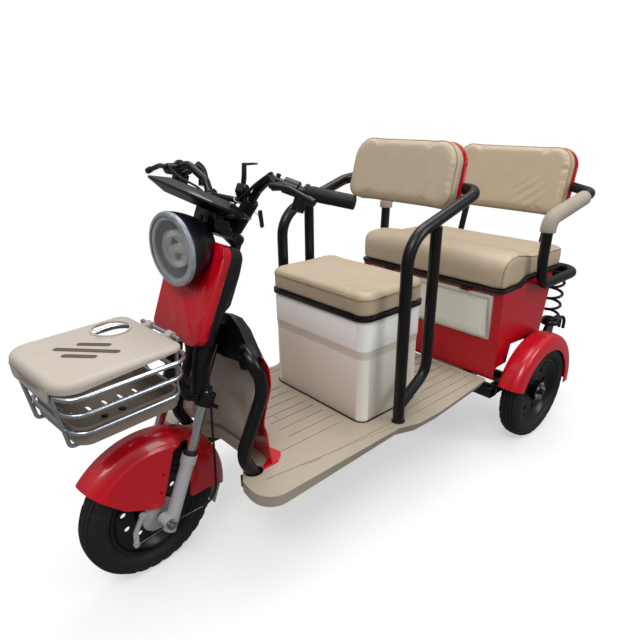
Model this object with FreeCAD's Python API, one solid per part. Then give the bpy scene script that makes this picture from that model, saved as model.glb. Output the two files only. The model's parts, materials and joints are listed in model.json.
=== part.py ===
import FreeCAD, Part
import math
import os

"""Electric tricycle with a rider's seat and a rear bench, in millimetres.

The model stands on Z = 0 and drives towards -Y, so +X is its left-hand side.
Lengths along Y are measured from the front axle and moved to the origin when a piece is saved.
The steered pieces are drawn straight ahead and turned together at the end.
"""

V = FreeCAD.Vector
UP = V(0, 0, 1)
SIDES = (-1, 1)

# Whole vehicle
ORIGIN_Y = 805.6          # from the front axle back to the middle of the whole length
WHEELBASE = 1475.0
REAR_TRACK_HALF = 403.0
STEER_AT_REST = 6.0       # degrees, front wheel parked turned to the left
CLEARANCE = 6.0           # between pieces that move past each other

# Wheels, 3.00-10 tyres
WHEEL_R = 200.0
TYRE_W = 84.0
BEAD_R = 130.0
RIM_W = 58.0
RIM_WALL = 5.0
AXLE_R = 7.0
HUB_GAP = 0.3

# Steering head and fork
RAKE = 23.0               # degrees from upright
HEAD_AT_AXLE = 61.0       # steering axis behind the front axle, at axle height
FORK_OFFSET = 34.0        # stanchions ahead of the steering axis
FORK_HALF = 80.0
STANCHION_R = 14.0
LEG_R = 19.0
LEG_TOP = 172.0           # along the steering axis, from axle height
LEG_BOTTOM = -58.0
CROWN = 318.0
CROWN_H = 38.0
STEM_TOP = 776.0
HEAD_TUBE_R = 27.0
STEM_R = 15.0
STRUT_HALF = 62.0         # struts that carry the panel on the crown
STRUT_R = 23.0
STRUT_FWD = 71.0
# Side view of the panel's shell: ahead of the steering axis, up along it
SHELL_SIDE = [(101, 470), (76, 470), (77, 574), (58, 605), (58, 690), (66, 760), (101, 760)]
# Handlebar from the grip's end to the middle: across, ahead, up and bend radius
HANDLEBAR = [(368, 21, 929, 0), (262, 63, 924, 60), (208, 92, 928, 40), (165, 97, 936, 30),
             (108, 72, 908, 30), (22, 42, 786, 24)]

# Floor
CHASSIS_TOP = 256.0
CHASSIS_H = 40.0
FLOOR_TOP = 298.0
FLOOR_SKIRT = 36.0
FLOOR_WALL = 6.0
FLOOR_ARCH_BACK = 292.0
# Half outline of the floor from the wheel arch back: x, y, corner radius, inset at the skirt's foot
FLOOR_EDGE = [(66, FLOOR_ARCH_BACK, 20, 0), (204, 192, 12, 0), (246, 186, 20, 0), (327, 188, 64, 0),
              (326, 722, 20, 20), (351, 792, 24, 20), (354, 905, 10, 20), (328, 1236, 14, 20)]
# Grooves in the floor: both ends, x and y
GROOVE_W = 4.0
GROOVE_DEEP = 1.8
GROOVES = [(20, 430, 20, 616), (68, 430, 68, 616), (118, 430, 118, 616), (166, 348, 166, 616),
           (243, 244, 307, 700), (273, 383, 286, 724)]

# Rider's seat
BOX_HALF = 228.0
BOX_FRONT = 646.0
BOX_REAR = 934.0
BOX_TOP = 652.0
BOX_WALL = 6.0
BOX_CORNER = 34.0
SEAT_PAN_H = 14.0
PAN_T = 11.0
SEAT_PAD_H = 72.0
SEAT_OVERHANG = 7.0
PAD_FILLET = 18.0
BAND_LOW, BAND_HIGH, BAND_STEP = 523.0, 552.0, 3.0

# Rails and bench
RAIL_R = 19.0
RAIL_HALF = 293.0
RAIL_FRONT_Y = 753.0
RAIL_REAR_Y = 884.0
RAIL_TOP = 900.0
FRAME_R = 19.0
BENCH_HALF = 348.0
BENCH_FRONT = 1229.0
BENCH_REAR = 1722.0
BENCH_LOW = 641.0         # under the front of the bench
BENCH_RIM = 660.0         # under the rest of it
BENCH_CORNER = 60.0
BODY_FRONT = 1250.0
BODY_WALL = 4.0
# Side view of the rear body: behind its front, height
BODY_SIDE = [(0, 326), (15, 342), (85, 344), (104, 416), (232, 406), (329, 401), (361, 581),
             (368, BENCH_RIM - 3), (164, BENCH_RIM - 3), (121, BENCH_LOW - 3), (0, BENCH_LOW - 3)]
ARM_HALF = 385.0
ARM_POST_Y = 1430.0
ARM_TOP = 889.0
ARM_SLOPE = 0.19          # rise of the armrest per length
BAR_Z = 640.0
BAR_REAR = 1754.0

# Basket: half width, front, rear, height and corner radius of each ring
BASKET_R = 6.0
BASKET_TOP = 700.0
BASKET_RINGS = [(150, -226, 84, BASKET_TOP, 46), (140, -216, 78, 654, 42), (128, -206, 72, 600, 38)]
TRAY_FLOOR = 562.0
TRAY_WALL = 3.0
LID_HALF = 140.0
LID_WALL = 3.0
LID_HINGE_Y = 96.0
LID_HINGE_Z = 724.0
LID_H = 26.0
LID_HOLE = (-66, -2)
LID_HOLE_R = 45.0
LID_SLOTS = [(-32, -97, 15, -54), (-43, -148, 63, -58), (3, -150, 51, -108)]

LID_GAP = 1.0
BACK_LEAN = 15.0
BACK_PAD = 48.0
BACK_SHELL = 10.0
ARM_PAD_R = 28.0
ARM_BEND = 46.0
SPRING_HALF = 326.0
SPRING_R = 35.0
SPRING_Y = 1716.0
HATCH_HALF = 303.0
HATCH_LOW = 452.0
HATCH_HIGH = 624.0
PIN_R = 4.0
PIN_FIT = 0.4             # between a hinge pin and its knuckle
KNUCKLE_R = 8.0
BENCH_PIN = (1238.0, 631.0)   # y and z of the bench's hinge pin
SEAT_PIN = (943.0, 648.0)     # and of the rider's seat
FENDER_R = 248.0          # front fender, over the middle of the tyre
REAR_FENDER_R = 241.0

# Leg shield: height, then the Y of the side edge and of the back wall
SHIELD_WALL = 4.0
SHIELD_BACK_HALF = 66.0
SHIELD = [(318, 238, 292), (362, 216, 298), (450, 249, 308), (552, 286, 314), (640, 262, 314)]
LINER = [(FLOOR_TOP, 300, 316), (410, 286, 318), (442, 270, 321), (552, 306, 327), (604, 302, 330),
         (640, 286, 330)]
# Front view that both are trimmed to, and the line of the shield's rolled edge
SHIELD_TRIM = [(-215, 290), (215, 290), (215, 642), (168, 642), (140, 586), (-140, 586), (-168, 642),
               (-215, 642)]
SHIELD_BEAD = [(246, 303), (201, 362), (282, 552), (250, 626)]
SHIELD_BEAD_R = 11.0
# Cover round the neck, half of its front view across and up along the steering axis
NECK_COVER = [(24, 566), (76, 545), (124, 512), (168, 484), (152, 466), (136, 438), (112, 458), (40, 450)]
# Side tube of the front frame: y and z of its corners
HOOP_HALF = 188.0
HOOP = [(262, CHASSIS_TOP - 6), (206, 362), (296, 552), (250, 660)]
HOOP_R = 19.0
NECK_R = 22.0

LENS_T = 5.5
LENS_R = 86.0
LAMP_BOWL = [(0, 92), (12, 94), (30, 90), (70, 76), (100, 56), (116, 34), (120, 8)]
# Instrument pod: up along the steering axis, half width, half depth
DASH_POD = [(828, 100, 32), (845, 150, 66), (851, 150, 66), (866, 96, 30)]
POD_FWD, POD_UP = 158.0, 845.0
POD_TURN, POD_DROP = 15.8, 6.9   # degrees that the pod sits askew, about the axis and sideways
# Side views ahead of the steering axis and up along it: case under the pod, hook and its holder
CASE_HALF = 45.0
CASE_SIDE = [(44, 768), (108, 774), (127, 790), (127, 842), (100, 842), (86, 822), (44, 822)]
HOOK_SIDE = [(82, 905), (88, 932), (98, 962), (60, 976), (60, 972), (94, 958), (84, 932), (78, 905)]
HOLDER_SIDE = [(54, 870), (72, 868), (92, 892), (90, 914), (76, 914), (56, 892)]

parts = {}
parts_raw = {}


def turned(direction):
    """Unit vector of a direction given in degrees from straight up towards the rear."""
    a = math.radians(direction)
    return V(0, math.sin(a), math.cos(a))


HEAD_BASE = V(0, HEAD_AT_AXLE, WHEEL_R)
HEAD_AXIS = turned(RAKE)
HEAD_FWD = V(0, -math.cos(math.radians(RAKE)), math.sin(math.radians(RAKE)))


def head(x, fwd, up):
    """A point beside the steering axis: across, ahead of the axis, and up along it."""
    return HEAD_BASE + V(x, 0, 0) + HEAD_FWD * fwd + HEAD_AXIS * up


def bar(points, radius, bends=()):
    """A round bar: straight runs joined by bends, with one bend radius or one for each inner point."""
    pts = [V(*p) for p in points]
    if not isinstance(bends, (list, tuple)):
        bends = [bends] * (len(pts) - 2)
    pieces, last = [], pts[0]
    for i, bend in enumerate(bends, 1):
        back, on = (pts[i - 1] - pts[i]).normalize(), (pts[i + 1] - pts[i]).normalize()
        half = back.getAngle(on) / 2
        start, end = pts[i] + back * (bend / math.tan(half)), pts[i] + on * (bend / math.tan(half))
        if (start - last).Length > 0.01:
            pieces.append(rod(last, start, radius))
        disc = Part.Face(Part.Wire(Part.Circle(start, back, radius).toShape()))
        centre = pts[i] + (back + on).normalize() * (bend / math.sin(half))
        pieces.append(disc.revolve(centre, on.cross(back), 180 - math.degrees(2 * half)))
        last = end
    pieces.append(rod(last, pts[-1], radius))
    return pieces[0].multiFuse(pieces[1:]) if len(pieces) > 1 else pieces[0]


def rod(a, b, radius):
    return Part.makeCylinder(radius, (b - a).Length, a, b - a)


def ring_bar(x, y0, y1, z, radius, corner):
    """A closed rectangular ring of round bar, lying flat."""
    half = bar([(0, y0, z), (x, y0, z), (x, y1, z), (0, y1, z)], radius, corner)
    return half.fuse(half.mirror(V(0, 0, 0), V(1, 0, 0)))


def outline(points, corners=0.0):
    """A closed flat wire through the points, each corner rounded by its own radius."""
    pts = [V(*p) for p in points]
    n = len(pts)
    if not isinstance(corners, (list, tuple)):
        corners = [corners] * n
    edges, ends = [], []
    for i, radius in enumerate(corners):
        a = (pts[i - 1] - pts[i]).normalize()
        b = (pts[(i + 1) % n] - pts[i]).normalize()
        half = a.getAngle(b) / 2
        if radius <= 0 or abs(half - math.pi / 2) < 1e-6:
            ends.append((pts[i], pts[i], None))
            continue
        start = pts[i] + a * (radius / math.tan(half))
        end = pts[i] + b * (radius / math.tan(half))
        middle = pts[i] + (a + b).normalize() * (radius / math.sin(half) - radius)
        ends.append((start, end, middle))
    for i in range(n):
        start, end, middle = ends[i]
        if middle is not None:
            edges.append(Part.Arc(start, middle, end).toShape())
        after = ends[(i + 1) % n][0]
        if (after - end).Length > 0.01:
            edges.append(Part.LineSegment(end, after).toShape())
    return Part.Wire(edges)


def prism(points, along, corners=0.0):
    return Part.Face(outline(points, corners)).extrude(V(*along))


def block(x0, x1, y0, y1, z0, z1, corner=0.0):
    """An upright box, its four upright edges rounded."""
    pts = [(x0, y0, z0), (x1, y0, z0), (x1, y1, z0), (x0, y1, z0)]
    return prism(pts, (0, 0, z1 - z0), corner)


def turned_profile(points, centre, start=0.0, turn=360.0):
    """A ring turned about the X axis from (across, radius) points, or an arc of one."""
    pts = [V(centre.x + a, centre.y, centre.z + r) for a, r in points]
    face = Part.Face(Part.makePolygon(pts + [pts[0]]))
    face.rotate(centre, V(1, 0, 0), start)
    return face.revolve(centre, V(1, 0, 0), turn)


def soften(solid, radius, *points):
    """Round the edges of each face that a point lies on."""
    edges = []
    for point in points:
        face = min(solid.Faces, key=lambda f: f.distToShape(Part.Vertex(V(*point)))[0])
        edges += [e for e in face.Edges if not any(e.isSame(other) for other in edges)]
    return solid.makeFillet(radius, edges)


def fuse(shapes):
    solid = shapes[0]
    for shape in shapes[1:]:
        solid = solid.fuse(shape)
    return solid.removeSplitter()


def both_sides(shape):
    """The piece and its mirror image on the other side."""
    return [shape, shape.mirror(V(0, 0, 0), V(1, 0, 0))]


def keep(name, shape, steered=False):
    """Turn a steered piece to its parked angle, move it to the origin and store it."""
    shapes = shape if isinstance(shape, list) else [shape]
    parts_raw[name] = shapes[0] if len(shapes) == 1 else Part.makeCompound(shapes)
    shapes = [s.copy() for s in shapes]
    for s in shapes:
        if steered:
            s.rotate(HEAD_BASE, HEAD_AXIS, STEER_AT_REST)
        s.translate(V(0, -ORIGIN_Y, 0))
    parts[name] = shapes[0] if len(shapes) == 1 else Part.makeCompound(shapes)


def tyre(centre):
    half, bead = TYRE_W / 2, BEAD_R
    section = [(-RIM_W / 2 + 3, bead), (-RIM_W / 2 + 3, bead + 7), (-half * 0.93, bead + 18),
               (-half, bead + 34),
               (-half * 0.86, WHEEL_R - 14), (-half * 0.48, WHEEL_R - 3), (0, WHEEL_R),
               (half * 0.48, WHEEL_R - 3), (half * 0.86, WHEEL_R - 14),
               (half, bead + 34), (half * 0.93, bead + 18), (RIM_W / 2 - 3, bead + 7),
               (RIM_W / 2 - 3, bead)]
    return turned_profile(section, centre)


def rim(centre, hub_half, hub_r, bore_r):
    """Pressed steel wheel: rim channel, dished disc and hub round the axle's bore."""
    half, out = RIM_W / 2, BEAD_R
    section = [(-half, out + 6), (-half, out - 4), (-half + 12, out - 12), (-4, out - 30),
               (-4, hub_r), (-hub_half, hub_r), (-hub_half, bore_r), (hub_half, bore_r),
               (hub_half, hub_r), (4, hub_r), (4, out - 26), (half - 10, out - 10),
               (half - RIM_WALL, out - 4), (half, out - 2), (half, out + 6),
               (half - 3, out + 6), (half - 3, out), (-half + 3, out), (-half + 3, out + 6)]
    return turned_profile(section, centre)


def build_wheels():
    front = V(0, 0, WHEEL_R)
    keep("front_tyre", tyre(front), True)
    keep("front_rim", rim(front, 44, 55, AXLE_R + HUB_GAP), True)
    axle = rod(V(-FORK_HALF - 34, 0, WHEEL_R), V(FORK_HALF + 34, 0, WHEEL_R), AXLE_R)
    nuts = [rod(V(s * (FORK_HALF + 20), 0, WHEEL_R), V(s * (FORK_HALF + 30), 0, WHEEL_R), 12)
            for s in SIDES]
    keep("front_axle", fuse([axle] + nuts), True)
    for side, name in ((-1, "right"), (1, "left")):
        centre = V(side * REAR_TRACK_HALF, WHEELBASE, WHEEL_R)
        keep("rear_tyre_" + name, tyre(centre))
        keep("rear_rim_" + name, rim(centre, 34, 40, AXLE_R + 3 + HUB_GAP))


def build_fork():
    legs, stanchions, struts, lobes = [], [], [], []
    for s in SIDES:
        x = s * FORK_HALF
        leg = rod(head(x, FORK_OFFSET, LEG_BOTTOM), head(x, FORK_OFFSET, LEG_TOP), LEG_R)
        seal = rod(head(x, FORK_OFFSET, LEG_TOP - 26), head(x, FORK_OFFSET, LEG_TOP), LEG_R + 3)
        boss = Part.makeCylinder(17, 33, V(x - 13 if s > 0 else x - 20, 0, WHEEL_R), V(1, 0, 0))
        web = prism([(x - 9, -14, WHEEL_R - 8), (x - 9, 24, WHEEL_R - 30),
                     (x - 9, 50, WHEEL_R + 40), (x - 9, 6, WHEEL_R + 12)], (18, 0, 0))
        hole = Part.makeCylinder(AXLE_R, 60, V(x - 30, 0, WHEEL_R), V(1, 0, 0))
        legs.append(fuse([leg, seal, boss, web]).cut(hole))
        stanchions.append(rod(head(x, FORK_OFFSET, LEG_TOP), head(x, FORK_OFFSET, CROWN + CROWN_H + 3),
                              STANCHION_R))
        lobes.append(rod(head(x, FORK_OFFSET, CROWN), head(x, FORK_OFFSET, CROWN + CROWN_H),
                         STANCHION_R + 13))
        struts.append(bar([head(s * STRUT_HALF, fwd, up) for fwd, up in (
            (47, CROWN + CROWN_H - 8), (STRUT_FWD, 458), (STRUT_FWD, 640))], STRUT_R, 60))
    keep("fork_legs", legs, True)
    keep("fork_stanchions", stanchions, True)
    plate = prism([head(x, fwd, CROWN) for x, fwd in (
        (-FORK_HALF, FORK_OFFSET + 20), (FORK_HALF, FORK_OFFSET + 20), (FORK_HALF, FORK_OFFSET - 20),
        (32, -26), (-32, -26), (-FORK_HALF, FORK_OFFSET - 20))], HEAD_AXIS * CROWN_H)
    stem = rod(head(0, 0, CROWN + 4), head(0, 0, STEM_TOP), STEM_R)
    yoke = fuse(lobes + [plate, stem])
    for st in stanchions:
        yoke = yoke.cut(st)
    keep("fork_yoke", yoke, True)
    keep("panel_struts", [strut.cut(yoke).cut(st) for strut, st in zip(struts, stanchions)], True)


def build_front_fender():
    """A domed fender with deep sides, cut away in side view for the fork legs."""
    wall = 2.5
    crown = [(-56, 190), (-46, 226), (-30, 241), (-12, FENDER_R - 1), (12, FENDER_R - 1), (30, 241),
             (46, 226), (56, 190)]
    inner = [(-56 + wall, 190), (-46 + wall, 225), (-29, 239), (-12, FENDER_R - 1 - wall),
             (12, FENDER_R - 1 - wall), (29, 239), (46 - wall, 225), (56 - wall, 190)]
    foot = 60.0
    section = [(-foot, 20)] + crown + [(foot, 20), (foot - wall, 20)] + inner[::-1] + [(wall - foot, 20)]
    dome = turned_profile(section, V(0, 0, WHEEL_R))
    side = [(-250, 446), (-176, 362), (-96, 277), (8, 222), (60, 388), (118, 402), (98, 204),
            (190, 200), (262, 150), (262, 480), (-250, 480)]
    view = prism([(-70, y, z) for y, z in side], (140, 0, 0), [0, 30, 60, 16, 14, 14, 14, 20, 0, 0, 0])
    shell = dome.common(view)
    for y, z in ((22, 330), (9, 276)):
        shell = shell.cut(rod(V(-70, y, z), V(70, y, z), 4))
    keep("front_fender", shell, True)


def build_steering():
    half, bottom, top = 112.0, 478.0, 752.0
    face = [head(-half + 8, 100, bottom), head(half - 8, 100, bottom), head(half, 100, top),
            head(-half, 100, top)]
    panel = prism(face, HEAD_FWD * 26, 34)
    shell = prism([p - HEAD_FWD * 58 for p in face], HEAD_FWD * 58, 30)
    inner = prism([head(-half + 10, 36, bottom + 8), head(half - 10, 36, bottom + 8),
                   head(half - 6, 36, top - 8), head(-half + 6, 36, top - 8)],
                  HEAD_FWD * 59, 26)
    side = prism([head(-half - 20, fwd, up) for fwd, up in SHELL_SIDE], (2 * half + 40, 0, 0),
                 [0, 8, 14, 14, 40, 8, 0])
    shell = shell.cut(inner).common(side)
    for s in SIDES:
        shell = shell.cut(rod(head(s * STRUT_HALF, STRUT_FWD, bottom - 20),
                              head(s * STRUT_HALF, STRUT_FWD, bottom + 20), STRUT_R + HUB_GAP))
    lens_centre = V(0, 150, 924)
    bowl = fuse([Part.makeCone(r0, r1, y1 - y0, lens_centre + V(0, y0, 0), V(0, 1, 0))
                 for (y0, r0), (y1, r1) in zip(LAMP_BOWL, LAMP_BOWL[1:])])
    bowl = bowl.cut(rod(lens_centre, lens_centre + V(0, LENS_T + HUB_GAP, 0), LENS_R + HUB_GAP))
    keep("headlamp_bowl", bowl, True)
    keep("panel_shell", shell.cut(bowl), True)
    keep("front_panel", panel.cut(bowl), True)
    keep("headlamp_lens", rod(lens_centre, lens_centre + V(0, LENS_T, 0), LENS_R), True)
    build_handlebar()


def build_handlebar():
    """Handlebar with its legs and cross bar, grips, levers, and the instrument pod in front."""
    near = [head(x, fwd, up) for x, fwd, up, bend in HANDLEBAR]
    far = [V(-p.x, p.y, p.z) for p in reversed(near)]
    bends = [bend for x, fwd, up, bend in HANDLEBAR[1:]]
    handlebar = bar(near + far, 11, bends + bends[::-1])
    sleeves = [rod(head(s * 88, 65, 880), head(s * 30, 45, 797), 18) for s in SIDES]
    cross = rod(head(-78, 62, 873), head(78, 62, 873), 8)
    clamp = rod(head(0, -4, 770), head(0, 46, 790), 21)
    handlebar = fuse([handlebar, cross, clamp] + sleeves).cut(parts_raw["fork_yoke"])
    keep("handlebar", handlebar, True)
    case = prism([head(-CASE_HALF, fwd, up) for fwd, up in CASE_SIDE], (2 * CASE_HALF, 0, 0),
                 [10, 10, 10, 8, 0, 0, 10])
    pod = Part.makeLoft([pod_ring(*row) for row in DASH_POD], True, True)
    pod.rotate(head(0, POD_FWD, POD_UP), HEAD_AXIS, POD_TURN)
    pod.rotate(head(0, POD_FWD, POD_UP), HEAD_FWD, -POD_DROP)
    pod = fuse([pod, case])
    for piece in ("handlebar", "fork_yoke", "headlamp_bowl"):
        pod = pod.cut(parts_raw[piece])
    keep("dash_pod", pod, True)
    along = (near[0] - near[1]).normalize()
    grip = rod(near[1] + along * 4, near[0] + along * 6, 17)
    keep("grips", [g.cut(handlebar) for g in both_sides(grip)], True)
    collar = rod(near[1] - along * 2, near[1] + along * 3.7, 20)
    sleeve = rod(head(212, 90, 928), head(244, 73, 925), 19)
    arm = rod(head(216, 92, 924), head(216, 128, 912), 10)
    box = prism([head(x, fwd, 876) for x, fwd in ((238, 50), (262, 50), (262, 76), (238, 76))],
                HEAD_AXIS * 40, 5)
    perch = fuse([sleeve, arm, box, collar]).cut(handlebar)
    lever = bar([head(212, 134, 912), head(262, 121, 915), head(330, 109, 898)], 7, 60)
    lever = lever.fuse(rod(head(318, 111.4, 901.2), head(336, 107.7, 895.9), 9)).cut(perch)
    keep("brake_perches", both_sides(perch), True)
    keep("brake_levers", both_sides(lever), True)
    blade = prism([head(52, fwd, up) for fwd, up in HOOK_SIDE], (16, 0, 0))
    holder = prism([head(46, fwd, up) for fwd, up in HOLDER_SIDE], (28, 0, 0), 5)
    keep("hook", blade.fuse(holder).cut(handlebar), True)


def pod_ring(up, half, deep):
    """A flat-sided oval across the steering axis."""
    corners = [head(x, POD_FWD + f, up)
               for x, f in ((-half, -deep), (half, -deep), (half, deep), (-half, deep))]
    return outline(corners, deep * 0.94)


def build_brake():
    x = FORK_HALF - 31
    plate = rod(V(x - 4, 0, WHEEL_R), V(x, 0, WHEEL_R), 52)
    arm = prism([(x + 1, -8, WHEEL_R + 30), (x + 1, 8, WHEEL_R + 30), (x + 1, -40, WHEEL_R - 62),
                 (x + 1, -56, WHEEL_R - 56)], (5, 0, 0))
    pivot = rod(V(x, 0, WHEEL_R + 26), V(x + 7, 0, WHEEL_R + 26), 9)
    bore = rod(V(x - 9, 0, WHEEL_R), V(x + 9, 0, WHEEL_R), AXLE_R)
    keep("brake_plate", fuse([plate, pivot, arm]).cut(bore), True)
    flap = [(220, 230), (218, 170), (196, 112), (193, 113), (215, 170), (217, 230)]
    keep("mud_flap", prism([(-40, y, z) for y, z in flap], (80, 0, 0)), True)


def build_basket():
    rings = [ring_bar(half, front, rear, z, BASKET_R, corner)
             for half, front, rear, z, corner in BASKET_RINGS]
    hoops = []
    for s in SIDES:
        hoops.append(bar([(s * 86, -228, BASKET_TOP + 2), (s * 86, -208, TRAY_FLOOR - 6),
                          (s * 86, 72, TRAY_FLOOR - 6), (s * 86, 86, BASKET_TOP + 2)], BASKET_R - 1, 12))
    half, front, rear = 119, -198, 66
    tray = block(-half, half, front, rear, TRAY_FLOOR, TRAY_FLOOR + 46, 34)
    hollow = block(-half + TRAY_WALL, half - TRAY_WALL, front + TRAY_WALL, rear - TRAY_WALL,
                   TRAY_FLOOR + TRAY_WALL, TRAY_FLOOR + 60, 31)
    keep("basket_tray", tray.cut(hollow), True)
    half, front, rear, z = LID_HALF, -236, 76, BASKET_TOP + 9
    lid = block(-half, half, front, rear, z, z + LID_H, [54, 54, 30, 30])
    under = block(-half + LID_WALL, half - LID_WALL, front + LID_WALL, rear - LID_WALL,
                  z - LID_H, z + LID_H - LID_WALL, [51, 51, 27, 27])
    lid = soften(lid, 18, (0, -80, z + LID_H)).cut(soften(under, 16, (0, -80, z + LID_H - LID_WALL)))
    lid = lid.fuse(block(-58, 58, front, front + LID_WALL, z - 26, z + 6))
    lid = lid.fuse(Part.makeCylinder(LID_HOLE_R + 5, 6, V(*LID_HOLE, z + LID_H - LID_WALL)))
    lid = lid.cut(Part.makeCylinder(LID_HOLE_R, 60, V(*LID_HOLE, z - 10)))
    for x0, y0, x1, y1 in LID_SLOTS:
        along = V(x1 - x0, y1 - y0, 0)
        slot = block(0, along.Length, -3.5, 3.5, z, z + LID_H + 3, 3.4)
        slot.rotate(V(0, 0, 0), UP, math.degrees(math.atan2(along.y, along.x)))
        slot.translate(V(x0, y0, 0))
        lid = lid.cut(slot)
    hinge = rod(V(-84, LID_HINGE_Y, LID_HINGE_Z), V(84, LID_HINGE_Y, LID_HINGE_Z), 6)
    stays = [rod(V(s * 78, LID_HINGE_Y, LID_HINGE_Z), V(s * 78, 84, BASKET_TOP), 5) for s in SIDES]
    for x in (-56, 36):
        knuckle = rod(V(x, LID_HINGE_Y, LID_HINGE_Z), V(x + 20, LID_HINGE_Y, LID_HINGE_Z), 10)
        tab = block(x, x + 20, rear - LID_WALL, LID_HINGE_Y, LID_HINGE_Z - 4, LID_HINGE_Z + 4)
        lid = lid.fuse(knuckle.fuse(tab))
    lid = lid.cut(rod(V(-90, LID_HINGE_Y, LID_HINGE_Z), V(90, LID_HINGE_Y, LID_HINGE_Z), 6.3))
    keep("basket_lid", lid.removeSplitter(), True)
    frame = fuse(rings + hoops + [hinge] + stays)
    keep("basket_frame", frame, True)
    arms = [bar([head(s * FORK_HALF, FORK_OFFSET + 30, up), head(s * FORK_HALF, FORK_OFFSET + 60, up),
                 (s * FORK_HALF, 80, z)], 7, 12)
            for s in SIDES for up, z in ((336, 602),)]
    keep("basket_bracket", [a.cut(frame).cut(parts_raw["fork_yoke"]) for a in arms], True)


def build_frame():
    halves = [bar([(s * HOOP_HALF, y, z) for y, z in HOOP] + [(0, 330, 612)], HOOP_R, [70, 110, 45])
              for s in SIDES]
    hoop = halves[0].fuse(halves[1])
    bore = rod(head(0, 0, CROWN), head(0, 0, 560), STEM_R + HUB_GAP)
    head_tube = rod(head(0, 0, CROWN + CROWN_H + CLEARANCE), head(0, 0, 540), HEAD_TUBE_R)
    neck = bar([head(0, 0, 505), (0, 372, 545), (0, 396, 242), (0, 470, 242)], NECK_R, [90, 40])
    frame = fuse([head_tube, neck, hoop]).cut(bore)
    keep("front_frame", frame)
    z0, z1 = CHASSIS_TOP - CHASSIS_H, CHASSIS_TOP
    rails = [block(s * 150 - 20, s * 150 + 20, 300, 1292, z0, z1) for s in SIDES]
    feet = [block(s * 169 - 39, s * 169 + 39, 232, 280, z0, z1) for s in SIDES]
    joins = [block(s * 150 - 20, s * 150 + 20, 280, 300, z0, z1) for s in SIDES]
    cross = [block(-170, 170, y, y + 40, z0, z1) for y in (450, 780, 1120)]
    tie = block(-346, 346, 1246, 1292, z0, z1)
    posts = [block(s * 220 - 15, s * 220 + 15, 1262, 1292, z0, BENCH_LOW - 3) for s in SIDES]
    keep("chassis", fuse(rails + feet + joins + cross + [tie] + posts).cut(frame))
    build_leg_shield(frame)


def build_leg_shield(frame):
    """A beige shield round the front wheel between the side tubes, its red face and the neck's cover."""
    cover = prism([head(x, -28, up) for x, up in NECK_COVER + [(-x, up) for x, up in NECK_COVER[::-1]]],
                  HEAD_FWD * -42, 6)
    keep("neck_cover", largest(cover.cut(frame)))
    trim = prism([(x, 150, z) for x, z in SHIELD_TRIM], (0, 250, 0))
    foot = [(66, 318), (126, 288), (80, 336), (51, 390), (32, 408), (0, 420)]
    foot += [(-x, y) for x, y in reversed(foot[:-1])]
    foot = prism([(x, y, FLOOR_TOP) for x, y in foot], (0, 0, 7))
    red = Part.makeLoft([shield_section(200, *row) for row in LINER], True, True).common(trim)
    keep("leg_shield_liner", largest(red.fuse(foot).cut(cover).cut(frame)))
    beads = [bar([(s * 160, y, z) for y, z in SHIELD_BEAD], SHIELD_BEAD_R, [70, 110]) for s in SIDES]
    beige = Part.makeLoft([shield_section(186, *row) for row in SHIELD], True, True).common(trim)
    keep("leg_shield", largest(fuse([beige] + beads).cut(cover).cut(frame)))


def largest(shape):
    return max(shape.Solids, key=lambda solid: solid.Volume)


def shield_section(half, z, side_y, back_y):
    ring = [V(-half, side_y, z), V(-SHIELD_BACK_HALF, back_y, z),
            V(SHIELD_BACK_HALF, back_y, z), V(half, side_y, z)]
    ring += [p + V(0, SHIELD_WALL, 0) for p in reversed(ring)]
    return Part.makePolygon(ring + [ring[0]])


def floor_ring(z, share, wall=0.0):
    """The floor's outline at a height, drawn in at its foot by a share of each inset."""
    half = [(x - inset * share, y, z) for x, y, radius, inset in FLOOR_EDGE]
    radii = [radius for x, y, radius, inset in FLOOR_EDGE]
    ring = outline(half + [(-x, y, h) for x, y, h in reversed(half)], radii + radii[::-1])
    return ring.makeOffset2D(-wall, 0, False, False, True) if wall else ring


def build_floor():
    """The footboard moulding: a grooved top with a skirt, open below, and a step by each rail."""
    z = FLOOR_TOP - FLOOR_SKIRT
    slab = Part.makeLoft([floor_ring(z, 1), floor_ring(FLOOR_TOP, 0)], True, True)
    hollow = Part.Face(floor_ring(z, 1, FLOOR_WALL)).extrude(V(0, 0, FLOOR_SKIRT - FLOOR_WALL))
    floor = slab.cut(hollow)
    for s in SIDES:
        floor = floor.cut(rod(V(s * HOOP_HALF, 268, z - 22), V(s * HOOP_HALF, 232, FLOOR_TOP + 22),
                              HOOP_R + 7))
        for x0, y0, x1, y1 in GROOVES:
            half = GROOVE_W / 2
            floor = floor.cut(prism([(s * x0 - half, y0, FLOOR_TOP - GROOVE_DEEP),
                                     (s * x0 + half, y0, FLOOR_TOP - GROOVE_DEEP),
                                     (s * x1 + half, y1, FLOOR_TOP - GROOVE_DEEP),
                                     (s * x1 - half, y1, FLOOR_TOP - GROOVE_DEEP)], (0, 0, 9)))
    floor = floor.cut(block(-20, 20, 467, 471, FLOOR_TOP - GROOVE_DEEP, FLOOR_TOP + 9))
    floor = floor.cut(rod(V(0, 394, z - 10), V(0, 390, FLOOR_TOP + 20), NECK_R + 2))
    keep("footboard", floor)


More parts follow.
